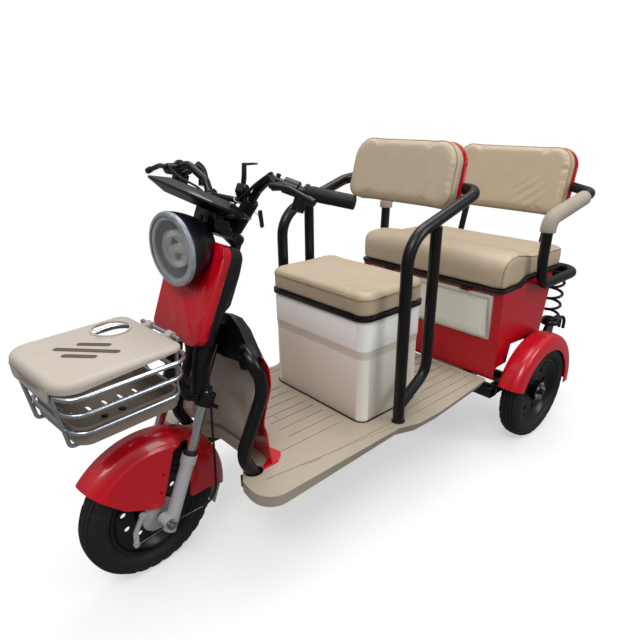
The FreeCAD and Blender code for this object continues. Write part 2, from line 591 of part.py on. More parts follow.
def build_seat():
    step = BAND_STEP
    wide = block(-BOX_HALF, BOX_HALF, BOX_FRONT, BOX_REAR, BAND_HIGH, BOX_TOP, BOX_CORNER)
    narrow = block(-BOX_HALF + step, BOX_HALF - step, BOX_FRONT + step, BOX_REAR - step, FLOOR_TOP,
                   BAND_LOW, BOX_CORNER - step)
    band = Part.makeLoft([box_ring(BAND_LOW, step), box_ring(BAND_HIGH, 0)], True, True)
    box = fuse([wide, narrow, band])
    w = BOX_WALL + step
    inside = block(-BOX_HALF + w, BOX_HALF - w, BOX_FRONT + w, BOX_REAR - w, FLOOR_TOP + w,
                   BOX_TOP + 1, BOX_CORNER - w)
    latch = block(BOX_HALF, BOX_HALF + 5, 828, 852, 580, 602)
    o = SEAT_OVERHANG
    shape = (-BOX_HALF - o, BOX_HALF + o, BOX_FRONT - o, BOX_REAR + o)
    low = BOX_TOP + LID_GAP
    pad_low = low + SEAT_PAN_H
    pan = block(*shape, low, pad_low, BOX_CORNER + o)
    ears, knuckles = hinge(SEAT_PIN, BOX_REAR - step, low + 2)
    keep("seat_box", fuse([box.cut(inside), latch] + ears))
    keep("seat_pan", fuse([pan] + knuckles))
    pad = block(*shape, pad_low, pad_low + SEAT_PAD_H, BOX_CORNER + o)
    keep("seat_cushion", soften(pad, PAD_FILLET, (0, BOX_FRONT + 150, pad_low + SEAT_PAD_H)))
    shell = backrest("front_backrest", 236, 1018, 948, 222).fuse(parts_raw["front_backrest"])
    rails = []
    for s in SIDES:
        x = s * RAIL_HALF
        top = bar([(x, RAIL_FRONT_Y, FLOOR_TOP), (x, RAIL_FRONT_Y, RAIL_TOP),
                   (x, 1098, 1008), (s * 150, 1108, 1008)], RAIL_R, [110, 50])
        rear = bar([(x, RAIL_REAR_Y, RAIL_TOP + 22), (x, RAIL_REAR_Y, 440),
                    (x, RAIL_FRONT_Y, 352)], RAIL_R - 1, 70)
        rails.append(fuse([top, rear]).cut(shell))
    keep("grab_rails", rails)


def box_ring(z, step):
    """The seat box's outline at a height, drawn in by a step."""
    x, y0, y1 = BOX_HALF - step, BOX_FRONT + step, BOX_REAR - step
    return outline([(-x, y0, z), (x, y0, z), (x, y1, z), (-x, y1, z)], BOX_CORNER - step)


def hinge(pin, wall_y, lid_z):
    """A lid's two pins on ears from a wall, and the knuckles under the lid that turn on them."""
    y, z = pin
    reach = y + PIN_R if y > wall_y else y - PIN_R
    ears, knuckles = [], []
    for s in SIDES:
        x = s * 190
        ears.append(rod(V(x - 22, y, z), V(x + 22, y, z), PIN_R))
        for ear in (x - 22, x + 18):
            ears.append(block(ear, ear + 4, *sorted((reach, wall_y)), z - 6, z + PIN_R / 2))
        knuckle = rod(V(x - 14, y, z), V(x + 14, y, z), KNUCKLE_R)
        tab = block(x - 14, x + 14, y - 4, y + 4, z, lid_z)
        bore = rod(V(x - 20, y, z), V(x + 20, y, z), PIN_R + PIN_FIT)
        knuckles.append(knuckle.fuse(tab).cut(bore))
    return ears, knuckles


def backrest(name, half, y, z, height):
    """A padded back on its shell, leaning back, its lower front edge at y and z."""
    tall = turned(BACK_LEAN) * height
    out = turned(BACK_LEAN + 90)
    low = V(0, y, z)
    corners = [low + V(-half, 0, 0), low + V(half, 0, 0), low + V(half - 6, 0, 0) + tall,
               low + V(-half + 6, 0, 0) + tall]
    radii = [50, 50, 80, 80]
    edge = [c + out * BACK_PAD + tall * (8 / height) for c in corners[:2]]
    edge += [c + out * BACK_PAD for c in corners[2:]]
    shell = prism(edge, out * BACK_SHELL, radii)
    pad = prism(corners, out * BACK_PAD, radii)
    keep(name, soften(pad, 14, low + tall * 0.5))
    keep(name + "_shell", shell)
    return shell


def build_body(frame):
    """Rear body: a sheet box under the bench, deep in front and cut up over the axle."""
    half, w, y0 = BENCH_HALF - 4, BODY_WALL, BODY_FRONT
    shell_floor = BODY_SIDE[3][1]
    outer = prism([(-half, y0 + y, z) for y, z in BODY_SIDE], (2 * half, 0, 0))
    cavity = [(w, 300), (85 - w, 300), (104 - w, shell_floor + w), (329 - w, shell_floor + w),
              (361 - w, 581), (368 - w, 700), (w, 700)]
    inner = prism([(-half + w, y0 + y, z) for y, z in cavity], (2 * half - 2 * w, 0, 0))
    kick = block(-half, half, y0, y0 + w, FLOOR_TOP, 344)
    ears, knuckles = hinge(BENCH_PIN, y0 + 2, BENCH_LOW + 2)
    hole = block(-HATCH_HALF - 3, HATCH_HALF + 3, y0 - 2, y0 + w + 2, HATCH_LOW - 3, HATCH_HIGH + 3)
    keep("rear_body", fuse([outer.cut(inner), kick] + ears).cut(hole).cut(frame))
    face = block(-HATCH_HALF, HATCH_HALF, y0 - 5, y0 + w, HATCH_LOW, HATCH_HIGH)
    for inset in (18, 25):
        ring = block(inset - HATCH_HALF, HATCH_HALF - inset, y0 - 6, y0 - 3, HATCH_LOW + inset,
                     HATCH_HIGH - inset)
        inset += 3
        face = face.cut(ring.cut(block(inset - HATCH_HALF, HATCH_HALF - inset, y0 - 7, y0,
                                       HATCH_LOW + inset, HATCH_HIGH - inset)))
    lip = block(-HATCH_HALF - 10, HATCH_HALF + 10, y0 + w, y0 + w + 3, HATCH_LOW - 10,
                HATCH_HIGH + 10)
    keep("rear_hatch", fuse([face, lip]))
    keep("battery", block(-200, 200, 1366, 1566, shell_floor + w, shell_floor + w + 150))
    return knuckles


def build_bench_seat(knuckles):
    """The bench lid: a stepped pan, deeper in front, under a thick cushion."""
    t, low, high, front = PAN_T, BENCH_LOW, BENCH_RIM, BENCH_FRONT
    plan = block(-BENCH_HALF, BENCH_HALF, front, BENCH_REAR, low - 9, low + 200,
                 [30, 30, BENCH_CORNER, BENCH_CORNER])
    pan = [(front, low), (1367, low), (1410, high), (BENCH_REAR, high), (BENCH_REAR, high + t),
           (1408, high + t), (1365, low + t), (front, low + t)]
    keep("bench_pan", fuse([bench_prism(pan).common(plan)] + knuckles))
    pad = [(front, low + t), (1365, low + t), (1408, high + t), (BENCH_REAR, high + t),
           (BENCH_REAR, 741), (1470, 745), (1330, 770), (front, 764)]
    keep("bench_cushion", bench_prism(pad, [0, 0, 0, 0, 24, 0, 80, 62]).common(plan))


def bench_prism(side, corners=0.0):
    return prism([(-BENCH_HALF, y, z) for y, z in side], (2 * BENCH_HALF, 0, 0), corners)


def build_bench():
    shell = backrest("rear_backrest", 284, 1729, 846, 280).fuse(parts_raw["rear_backrest"])
    tubes, pads = [], []
    for s in SIDES:
        x = s * ARM_HALF
        top = [(x, ARM_POST_Y - 6, 740), (x, ARM_POST_Y, ARM_TOP),
               (x, 1752, ARM_TOP + (1752 - ARM_POST_Y) * ARM_SLOPE), (s * 240, 1836, 962)]
        low = [(0, BAR_REAR, BAR_Z), (x, BAR_REAR, BAR_Z), (x, ARM_POST_Y + 16, BAR_Z)]
        tubes.append(bar(low + top, FRAME_R, [70, 52, 120, ARM_BEND, 45]).cut(shell))
        tubes.append(rod(V(s * 205, BAR_REAR, BAR_Z), V(s * 205, BAR_REAR + 68, 893), 14).cut(shell))
        tubes.append(rod(V(x, 1500, BAR_Z - 10), V(s * 345, 1500, BAR_Z - 10), 8))
        pad_line = [(x, ARM_POST_Y - 2, ARM_TOP - 46), (x, ARM_POST_Y, ARM_TOP),
                    (x, 1688, ARM_TOP + (1688 - ARM_POST_Y) * ARM_SLOPE)]
        pads.append(bar(pad_line, ARM_PAD_R, ARM_BEND).cut(tubes[-3]))
    beam = block(-ARM_HALF + 20, ARM_HALF - 20, 1698, 1736, BAR_Z - 24, BAR_Z - 6)
    frame = fuse([beam] + tubes)
    keep("bench_frame", frame)
    keep("arm_pads", pads)
    return frame


def build_axle():
    arms = []
    z0, z1 = 216.0, 252.0
    centre = V(0, WHEELBASE, WHEEL_R)
    across = V(1, 0, 0)
    for s in SIDES:
        x = s * SPRING_HALF
        arms.append(block(x - 16, x + 16, 1300, 1730, z0, z1))
        arms.append(prism([(x - 8, 1580, z1 - 4), (x - 8, 1726, z1 - 4), (x - 8, 1744, 402),
                           (x - 8, 1690, 402)], (16, 0, 0)))
        arms.append(rod(V(x, SPRING_Y, 402), V(x, SPRING_Y, 410), SPRING_R + 3))
        stay = block(s * 347 - 2, s * 347 + 2, WHEELBASE - 20, WHEELBASE + 20, z1 - 20, 424)
        arms.append(block(*sorted((s * 346, s * 370)), WHEELBASE - 20, WHEELBASE + 20, 420, 424))
        foot = block(s * 343 - 6, s * 343 + 6, WHEELBASE - 20, WHEELBASE + 20, z1 - 20, z1)
        arms += [stay, foot]
    tube = rod(centre - across * 357, centre + across * 357, 26)
    ends = rod(centre - across * 452, centre + across * 452, AXLE_R + 3)
    housing = rod(centre - across * 105, centre + across * 115, 88)
    motor = housing.cut(tube)
    keep("rear_axle", fuse([tube, ends] + arms))
    keep("motor", motor)
    springs, fenders = [], []
    for s in SIDES:
        low, high = V(s * SPRING_HALF, SPRING_Y, 410), V(s * SPRING_HALF, SPRING_Y, BAR_Z - 24)
        springs.append(rod(low, high, SPRING_R).cut(rod(low, high, SPRING_R - 10)))
        out = REAR_FENDER_R
        section = [(-40, out - 14), (-32, out - 4), (-18, out), (18, out), (36, out - 4), (46, out - 16),
                   (49, out - 62), (46, out - 62), (43, out - 17), (35, out - 7), (18, out - 3),
                   (-18, out - 3), (-31, out - 7), (-40, out - 18)]
        fenders.append(turned_profile([(s * a, r) for a, r in section],
                                      V(s * REAR_TRACK_HALF, WHEELBASE, WHEEL_R), 71, -166))
    keep("rear_springs", springs)
    keep("rear_fenders", [f.cut(parts_raw["rear_axle"]) for f in fenders])


build_wheels()
build_fork()
build_front_fender()
build_steering()
build_brake()
build_basket()
build_frame()
build_floor()
build_seat()
build_bench_seat(build_body(build_bench()))
build_axle()

os.makedirs("parts", exist_ok=True)
for name, shape in parts.items():
    shape.exportStep("parts/" + name + ".step")
    print(name, round(shape.Volume / 1e3), "cm3", shape.isValid())
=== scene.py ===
import bpy
import bmesh
import json
import math
from mathutils import Matrix, Vector
from mathutils.bvhtree import BVHTree


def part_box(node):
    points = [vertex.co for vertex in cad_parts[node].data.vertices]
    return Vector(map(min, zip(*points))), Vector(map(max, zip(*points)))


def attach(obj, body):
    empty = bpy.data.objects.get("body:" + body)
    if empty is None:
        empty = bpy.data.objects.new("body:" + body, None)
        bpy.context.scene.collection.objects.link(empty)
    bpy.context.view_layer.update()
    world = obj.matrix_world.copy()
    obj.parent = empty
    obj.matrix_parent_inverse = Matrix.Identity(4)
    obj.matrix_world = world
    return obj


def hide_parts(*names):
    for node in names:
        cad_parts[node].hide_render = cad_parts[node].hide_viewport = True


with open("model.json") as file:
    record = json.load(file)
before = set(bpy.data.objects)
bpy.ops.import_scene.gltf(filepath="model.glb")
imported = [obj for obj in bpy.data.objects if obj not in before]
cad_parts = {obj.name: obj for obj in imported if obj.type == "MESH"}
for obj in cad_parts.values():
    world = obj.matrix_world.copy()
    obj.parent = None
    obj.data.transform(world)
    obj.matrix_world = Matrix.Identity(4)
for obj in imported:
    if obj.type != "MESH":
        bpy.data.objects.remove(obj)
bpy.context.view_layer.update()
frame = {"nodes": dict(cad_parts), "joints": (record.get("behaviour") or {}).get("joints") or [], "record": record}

# Sizes are in millimetres from the front axle, as in the part's source
ORIGIN_Y = 805.6
WHEELBASE = 1475.0
REAR_HALF = 403.0
WHEEL_R = 200.0
RAKE = math.radians(23.0)
HEAD_AT_AXLE = 61.0
FORK_HALF = 80.0
FLOOR_TOP = 298.0
SPRING_HALF, SPRING_Y = 326, 1716
LAMP_CENTRE = (0, 150, 924)
SIDES = (("right", -1), ("left", 1))
TO_ROOT = Matrix.Scale(0.001, 4) @ Matrix.Translation((0, -ORIGIN_Y, 0))
STEERING = next(j for j in frame["joints"] if j["name"] == "steering")
PARKED = (Matrix.Translation(STEERING["pos_m"])
          @ Matrix.Rotation(math.radians(6.0), 4, Vector(STEERING["axis"]))
          @ Matrix.Translation([-c for c in STEERING["pos_m"]]))

# Non-metals mirror a little under the plain level, as the real one has dark ground round it
SPECULAR = 0.35
# A cushion's cloth step: how far the solid is drawn in first, in mm, and the pressure that fills it
PAD_SHRINK, PAD_PRESSURE = 0.5, 4.0


def head(x, fwd, up):
    """A point beside the steering axis: across, ahead of the axis, and up along it."""
    return Vector((x, HEAD_AT_AXLE - fwd * math.cos(RAKE) + up * math.sin(RAKE),
                   WHEEL_R + fwd * math.sin(RAKE) + up * math.cos(RAKE)))


def linear(code):
    """An sRGB hex colour as a linear one."""
    channels = [int(code[i:i + 2], 16) / 255 for i in (0, 2, 4)]
    return [c / 12.92 if c <= 0.04045 else ((c + 0.055) / 1.055) ** 2.4 for c in channels] + [1.0]


def add(tree, kind, inputs=(), **settings):
    """Adds a node with its settings; an input is a value or the socket that feeds it."""
    item = tree.nodes.new(kind)
    for key, value in settings.items():
        setattr(item, key, value)
    for key, value in dict(inputs).items():
        if isinstance(value, bpy.types.NodeSocket):
            tree.links.new(value, item.inputs[key])
        else:
            item.inputs[key].default_value = value
    return item


def shader(name):
    """A new material: its tree, its shader and the object coordinates."""
    material = bpy.data.materials.new(name)
    material.use_nodes = True
    tree = material.node_tree
    place = add(tree, "ShaderNodeTexCoord").outputs["Object"]
    return material, tree, tree.nodes["Principled BSDF"], place


def finish(name, colour, rough, grain, depth, deep_colour=None, patch=90.0, metal=0.0, coat=0.0,
           spread=0.06, sheen=0.0, crease=None):
    """A plain finish: fine grain of a size and depth in mm, and broad patches of a second tone."""
    material, tree, bsdf, place = shader(name)
    fine = add(tree, "ShaderNodeTexNoise", {"Vector": place, "Scale": 1000 / grain, "Detail": 3.0})
    broad = add(tree, "ShaderNodeTexNoise", {"Vector": place, "Scale": 1000 / patch, "Detail": 4.0,
                                             "Roughness": 0.6})
    tone = add(tree, "ShaderNodeMix", {"Factor": broad.outputs["Fac"], "A": linear(colour),
                                       "B": linear(deep_colour or colour)}, data_type="RGBA")
    wet = add(tree, "ShaderNodeMapRange", {"Value": broad.outputs["Fac"], "From Min": 0.3,
                                           "From Max": 0.7, "To Min": max(rough - spread, 0.02),
                                           "To Max": rough + spread})
    bump = add(tree, "ShaderNodeBump", {"Height": fine.outputs["Fac"], "Distance": depth / 1000})
    if crease:
        bump = add(tree, "ShaderNodeBump", {"Height": crease(tree, place), "Distance": 1.0,
                                            "Normal": bump.outputs["Normal"]})
    tree.links.new(tone.outputs["Result"], bsdf.inputs["Base Color"])
    tree.links.new(wet.outputs["Result"], bsdf.inputs["Roughness"])
    tree.links.new(bump.outputs["Normal"], bsdf.inputs["Normal"])
    bsdf.inputs["Metallic"].default_value = metal
    if not metal:
        bsdf.inputs["Specular IOR Level"].default_value = SPECULAR
    bsdf.inputs["Coat Weight"].default_value = coat
    bsdf.inputs["Coat Roughness"].default_value = 0.06
    bsdf.inputs["Sheen Weight"].default_value = sheen
    return material


def panel_facets(tree, place):
    """Height in metres of the front panel: a shallow V pressed in from its foot to its upper corners."""
    flare, foot_z, press = 0.34, 0.655, 0.035
    parts = add(tree, "ShaderNodeSeparateXYZ", {0: place})
    out = add(tree, "ShaderNodeMath", {0: parts.outputs["X"]}, operation="ABSOLUTE")
    line = add(tree, "ShaderNodeMath", {0: parts.outputs["Z"], 1: flare, 2: -flare * foot_z},
               operation="MULTIPLY_ADD")
    inside = add(tree, "ShaderNodeMath", {0: out.outputs["Value"], 1: line.outputs["Value"]},
                 operation="SUBTRACT")
    inside = add(tree, "ShaderNodeMath", {0: inside.outputs["Value"], 1: 0.0}, operation="MINIMUM")
    return add(tree, "ShaderNodeMath", {0: inside.outputs["Value"], 1: press},
               operation="MULTIPLY").outputs[0]


def leather(name, colour, deep_colour, folds_at=None):
    """Synthetic leather: rounded grain cells and soft creases, with slanting folds round one point."""
    material, tree, bsdf, place = shader(name)
    wave = add(tree, "ShaderNodeTexNoise", {"Vector": place, "Scale": 45.0, "Detail": 2.0})
    shift = add(tree, "ShaderNodeVectorMath", {0: wave.outputs["Color"], "Scale": 0.004}, operation="SCALE")
    moved = add(tree, "ShaderNodeVectorMath", {0: place, 1: shift.outputs["Vector"]})
    # The real pebble is 1.5 mm across, drawn at 3 mm so that it shows
    cells = add(tree, "ShaderNodeTexVoronoi", {"Vector": moved.outputs["Vector"], "Scale": 330.0},
                feature="SMOOTH_F1")
    soft = add(tree, "ShaderNodeTexNoise", {"Vector": place, "Scale": 22.0, "Detail": 3.0, "Distortion": 0.6})
    both = add(tree, "ShaderNodeMath", {0: soft.outputs["Fac"], 1: cells.outputs["Distance"]},
               operation="SUBTRACT")
    bump = add(tree, "ShaderNodeBump", {"Height": both.outputs["Value"], "Distance": 0.0006, "Strength": 0.6})
    if folds_at:
        away = add(tree, "ShaderNodeVectorMath", {0: place, 1: folds_at}, operation="DISTANCE")
        near = add(tree, "ShaderNodeMapRange", {"Value": away.outputs["Value"], "From Min": 0.02,
                                                "From Max": 0.10, "To Min": 1.0, "To Max": 0.0})
        slant = add(tree, "ShaderNodeMapping", {"Vector": place, "Rotation": (0, math.radians(38), 0)})
        band = add(tree, "ShaderNodeTexWave", {"Vector": slant.outputs["Vector"], "Scale": 9.0,
                                               "Distortion": 3.0, "Detail": 2.0}, bands_direction="Z")
        fold = add(tree, "ShaderNodeMath", {0: band.outputs["Fac"], 1: near.outputs["Result"]},
                   operation="MULTIPLY")
        bump = add(tree, "ShaderNodeBump", {"Height": fold.outputs["Value"], "Distance": 0.0022,
                                            "Normal": bump.outputs["Normal"]})
    tone = add(tree, "ShaderNodeMix", {"Factor": soft.outputs["Fac"], "A": linear(colour),
                                       "B": linear(deep_colour)}, data_type="RGBA")
    tree.links.new(tone.outputs["Result"], bsdf.inputs["Base Color"])
    tree.links.new(bump.outputs["Normal"], bsdf.inputs["Normal"])
    bsdf.inputs["Roughness"].default_value = 0.44
    bsdf.inputs["Sheen Weight"].default_value = 0.1
    return material


# Acrylic enamel over metal and moulded ABS: deep red under a clear layer, soft long reflections
RED = finish("red enamel", "B80419", 0.28, 9.0, 0.010, "A80316", coat=0.35, spread=0.03)
RED_ABS = finish("red moulded ABS", "C6041D", 0.26, 12.0, 0.012, "B80319", coat=0.45, spread=0.03)
RED_PANEL = finish("red pressed front panel", "C6041D", 0.26, 12.0, 0.012, "B80319", coat=0.45,
                   spread=0.03, crease=panel_facets)
# Textured polypropylene: beige, even, with a grain that breaks up the light
BEIGE = finish("beige textured polypropylene", "B5ACA2", 0.48, 3.2, 0.04, "ABA297", spread=0.05)
FLOOR_PP = finish("beige floor polypropylene", "ADA292", 0.50, 3.5, 0.06, "A29786", spread=0.05)
# Painted shade: the tray is the lid's beige, drawn brown grey for the shade inside the basket
TRAY_SHADED_PP = finish("beige polypropylene painted brown grey as shade", "8D8173", 0.45, 3.2, 0.05, "83776A")
# Painted shade: the dark brown of the plates under the lid slots stands for the shadow seen in them
SLOT_SHADE = finish("brown painted shade under the lid slots", "5A4F44", 0.6, 3.0, 0.05, "4E443A")
CREAM = finish("cream moulded ABS", "E4E4DA", 0.38, 6.0, 0.02, "DEDDD2", coat=0.1, spread=0.04)
LEATHER = leather("tan synthetic leather", "BAA990", "AE9C82")
BACK_LEATHER = leather("creased tan synthetic leather", "BAA990", "AE9C82", (0.13, 0.93, 0.93))
PIPING = finish("dark tan welting", "98845F", 0.5, 2.0, 0.10, "8A7756")
# Powder coat: thick and black, with a fine orange peel that blurs the highlight on each tube
POWDER = finish("black powder coat", "050507", 0.32, 5.0, 0.04, "08080A", coat=0.1, spread=0.05)
BLACK_ABS = finish("black moulded ABS", "09090B", 0.38, 4.0, 0.03, "0E0E10", coat=0.1, spread=0.08)
GLOSS_ABS = finish("black polished ABS", "05060A", 0.22, 12.0, 0.006, "090A0E", coat=0.25, spread=0.03)
BOWL_ABS = finish("blue black satin ABS", "0A0C12", 0.36, 9.0, 0.02, "0D0F15", coat=0.1, spread=0.05)
RUBBER = finish("black soft rubber", "0E0E10", 0.60, 3.0, 0.06, "151517", spread=0.08)
TYRE = finish("tyre rubber", "131314", 0.62, 3.0, 0.08, "1E1D1D", patch=60, spread=0.10)
CHROME = finish("chrome plate", "DADCDE", 0.10, 14.0, 0.006, "CBCDD0", metal=1.0, spread=0.04)
ZINC = finish("zinc plated steel", "A9ADB2", 0.30, 5.0, 0.03, "8F9398", metal=1.0, spread=0.08)
WIRE = finish("nickel plated wire", "C6CBD1", 0.24, 9.0, 0.01, "AEB4BB", metal=1.0, spread=0.06)
SILVER = finish("silver lacquered casting", "B4B5B8", 0.38, 3.5, 0.06, "A6A7AA", metal=0.1, coat=0.15)
# Lens rim: dark grey under a clear coat, its broad light patches painted in as reflection streaks on the clear
# film
RIM_STREAKED = finish("lens rim with painted reflection streaks", "4E565C", 0.16, 20.0, 0.12, "AEB6BC", patch=26.0, coat=0.6,
                  spread=0.05)
LAMP_GREY = finish("dark satin lamp bowl", "55585C", 0.30, 6.0, 0.02, "484B4F", metal=0.5, spread=0.06)
FOAM = finish("beige moulded foam", "A2978A", 0.70, 3.0, 0.12, "958A7B", sheen=0.1)


def banded(name, axis, colour, bands, rough):
    """A moulding whose tone changes past each distance in metres along an axis, alike on both sides."""
    material, tree, bsdf, place = shader(name)
    along = add(tree, "ShaderNodeSeparateXYZ", {0: place}).outputs[axis]
    along = add(tree, "ShaderNodeMath", {0: along}, operation="ABSOLUTE").outputs[0]
    tone = linear(colour)
    for low, colour in bands:
        above = add(tree, "ShaderNodeMath", {0: along, 1: low}, operation="GREATER_THAN")
        mix = add(tree, "ShaderNodeMix", {"Factor": above.outputs[0], "A": tone, "B": linear(colour)},
                  data_type="RGBA")
        tone = mix.outputs["Result"]
    fine = add(tree, "ShaderNodeTexNoise", {"Vector": place, "Scale": 160.0, "Detail": 3.0})
    bump = add(tree, "ShaderNodeBump", {"Height": fine.outputs["Fac"], "Distance": 0.00002})
    tree.links.new(tone, bsdf.inputs["Base Color"])
    tree.links.new(bump.outputs["Normal"], bsdf.inputs["Normal"])
    bsdf.inputs["Roughness"].default_value = rough
    bsdf.inputs["Specular IOR Level"].default_value = SPECULAR
    return material


# Seat box: white above, a beige band pressed in, and off-white below it
BOX_WHITE = banded("banded white ABS", "Z", "E4E0D6", ((0.5225, "CFC8BC"), (0.5525, "EEEEEA")), 0.34)
# Leg shield: its rolled edge is lighter than the panel between, the panel's darker beige being painted shade
# inside the shield
SHIELD_SHADED_PP = banded("beige polypropylene with painted shade on its panel", "X", "A2968A", ((0.146, "CBC1B2"),), 0.48)


def lens_glass():
    """Clear polycarbonate with a faint fluting; half its light goes straight through, to show the lamp."""
    material, tree, bsdf, place = shader("clear polycarbonate")
    flutes = add(tree, "ShaderNodeTexWave", {"Vector": place, "Scale": 55.0, "Distortion": 0.0},
                 bands_direction="X")
    bump = add(tree, "ShaderNodeBump", {"Height": flutes.outputs["Fac"], "Distance": 0.0004,
                                        "Strength": 0.5})
    tree.links.new(bump.outputs["Normal"], bsdf.inputs["Normal"])
    bsdf.inputs["Base Color"].default_value = linear("F4F7F8")
    bsdf.inputs["Roughness"].default_value = 0.04
    bsdf.inputs["IOR"].default_value = 1.58
    bsdf.inputs["Transmission Weight"].default_value = 1.0
    bsdf.inputs["Alpha"].default_value = 0.5
    return material


GLASS = lens_glass()


def linked(name, data):
    """A new object in the scene."""
    obj = bpy.data.objects.new(name, data)
    bpy.context.scene.collection.objects.link(obj)
    return obj


def taken(obj):
    """The final mesh of a work object, which is then removed."""
    bpy.context.view_layer.update()
    mesh = bpy.data.meshes.new_from_object(obj.evaluated_get(bpy.context.evaluated_depsgraph_get()))
    bpy.data.objects.remove(obj)
    return mesh


def piece(name, mesh, material, body, replaces=None, steered=False, smooth=35, in_mm=True):
    """Puts a mesh in its place at rest and parents it to its body; edges over smooth degrees stay sharp."""
    if in_mm:
        mesh.transform(TO_ROOT)
        if steered:
            mesh.transform(PARKED)
    mesh.materials.clear()
    mesh.materials.append(material)
    mesh.shade_smooth()
    mesh.set_sharp_from_angle(angle=math.radians(smooth))
    obj = linked(name, mesh)
    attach(obj, body)
    if replaces:
        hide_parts(replaces)
    return obj


def fitted(name, mesh, material, smooth=35, body="steering"):
    """A small piece of the front end that replaces no solid."""
    return piece(name, mesh, material, body, steered=True, smooth=smooth)


def mesh_of(bm, name="shape"):
    """The mesh of a drawing that is then freed."""
    mesh = bpy.data.meshes.new(name)
    bm.to_mesh(mesh)
    bm.free()
    return mesh


def joined(*meshes):
    """Some meshes as one."""
    bm = bmesh.new()
    for mesh in meshes:
        bm.from_mesh(mesh)
    return mesh_of(bm)


def applied(mesh, *modifiers):
    """The mesh after modifiers, each a kind and its settings."""
    obj = linked("work", mesh)
    for kind, settings in modifiers:
        modifier = obj.modifiers.new(kind, kind)
        for key, value in settings.items():
            setattr(modifier, key, value)
    return taken(obj)


def carved(mesh, cutter, operation="DIFFERENCE", crossed=False):
    """The mesh cut by another, or kept inside it; a cutter may cross itself."""
    tool = linked("tool", cutter)
    result = applied(mesh, ("BOOLEAN", {"object": tool, "operation": operation, "solver": "EXACT",
                                        "use_self": crossed}))
    bpy.data.objects.remove(tool)
    return result


def merged(node):
    """A CAD node's mesh with its loose triangles joined and its flat faces made whole."""
    bm = bmesh.new()
    bm.from_mesh(frame["nodes"][node].data)
    bmesh.ops.remove_doubles(bm, verts=bm.verts, dist=2e-5)
    bmesh.ops.dissolve_limit(bm, angle_limit=math.radians(0.6), verts=bm.verts, edges=bm.edges)
    return mesh_of(bm, node)


def softened(node, material, body, width):
    """A CAD node with its sharp edges rounded by a width in mm."""
    mesh = merged(node)
    if width:
        mesh = applied(mesh, ("BEVEL", {"width": width / 1000, "segments": 2, "limit_method": "ANGLE",
                                        "angle_limit": math.radians(30)}),
                       ("WEIGHTED_NORMAL", {"keep_sharp": False}))
    piece(node + "_finish", mesh, material, body, node, smooth=50 if width else 30, in_mm=False)


def lathe(profile, centre, axis="X", steps=96, start=0.0, turn=360.0):
    """A closed section of (along, radius) points turned about an axis through a centre."""
    bm = bmesh.new()
    whole = turn >= 360
    rings = []
    count = steps if whole else steps + 1
    for i in range(count):
        a = math.radians(start + turn * i / steps)
        c, s = math.cos(a), math.sin(a)
        if axis == "X":
            ring = [(centre[0] + u, centre[1] + r * s, centre[2] + r * c) for u, r in profile]
        else:
            ring = [(centre[0] + r * s, centre[1] + u, centre[2] + r * c) for u, r in profile]
        rings.append([bm.verts.new(p) for p in ring])
    n = len(profile)
    for i in range(steps):
        one, two = rings[i], rings[(i + 1) % count]
        for k in range(n):
            bm.faces.new((one[k], one[(k + 1) % n], two[(k + 1) % n], two[k]))
    if not whole:
        bm.faces.new(rings[0])
        bm.faces.new(rings[-1])
    bmesh.ops.remove_doubles(bm, verts=bm.verts, dist=0.01)
    bmesh.ops.recalc_face_normals(bm, faces=bm.faces)
    return mesh_of(bm)


def rounded(points, radii, steps=5):
    """A closed flat outline with its corners rounded."""
    out = []
    if not isinstance(radii, (list, tuple)):
        radii = [radii] * len(points)
    for i, radius in enumerate(radii):
        p = Vector(points[i])
        a = (Vector(points[i - 1]) - p).normalized()
        b = (Vector(points[(i + 1) % len(points)]) - p).normalized()
        half = a.angle(b) / 2
        if radius <= 0 or half > 1.56:
            out.append(tuple(p))
            continue
        centre = p + (a + b).normalized() * (radius / math.sin(half))
        start = p + a * (radius / math.tan(half)) - centre
        end = p + b * (radius / math.tan(half)) - centre
        for k in range(steps + 1):
            out.append(tuple(centre + (start * (1 - k / steps) + end * (k / steps)).normalized() * radius))
    return out


def slab(outline, along):
    """A flat outline of 3-D points pushed along a vector."""
    bm = bmesh.new()
    low = [bm.verts.new(p) for p in outline]
    high = [bm.verts.new(Vector(p) + Vector(along)) for p in outline]
    bm.faces.new(low)
    bm.faces.new(high)
    n = len(low)
    for i in range(n):
        bm.faces.new((low[i], low[(i + 1) % n], high[(i + 1) % n], high[i]))
    bmesh.ops.recalc_face_normals(bm, faces=bm.faces)
    return mesh_of(bm)


def spline(points, samples=8):
    """Points of a smooth curve through some points."""
    pts = [Vector(p) for p in points]
    pts = [pts[0] * 2 - pts[1]] + pts + [pts[-1] * 2 - pts[-2]]
    out = []
    for i in range(1, len(pts) - 2):
        for k in range(samples):
            t = k / samples
            a, b, c, d = pts[i - 1:i + 3]
            out.append(0.5 * (2 * b + (c - a) * t + (2 * a - 5 * b + 4 * c - d) * t * t
                              + (3 * b - a - 3 * c + d) * t ** 3))
    return out + [pts[-2]]


def tube(line, radius, sides=12):
    """A round tube along a line of points; the radius may be a list, one for each point."""
    bm = bmesh.new()
    pts = [Vector(p) for p in line]
    radii = radius if isinstance(radius, (list, tuple)) else [radius] * len(pts)
    along = (pts[1] - pts[0]).normalized()
    side = along.orthogonal().normalized()
    rings = []
    for i, p in enumerate(pts):
        ahead = (pts[min(i + 1, len(pts) - 1)] - pts[max(i - 1, 0)]).normalized()
        side = (side - ahead * side.dot(ahead)).normalized()
        up = ahead.cross(side)
        rings.append([bm.verts.new(p + (side * math.cos(2 * math.pi * k / sides)
                                        + up * math.sin(2 * math.pi * k / sides)) * radii[i])
                      for k in range(sides)])
    for one, two in zip(rings, rings[1:]):
        for k in range(sides):
            bm.faces.new((one[k], one[(k + 1) % sides], two[(k + 1) % sides], two[k]))
    bm.faces.new(rings[0])
    bm.faces.new(rings[-1])
    bmesh.ops.recalc_face_normals(bm, faces=bm.faces)
    return mesh_of(bm)


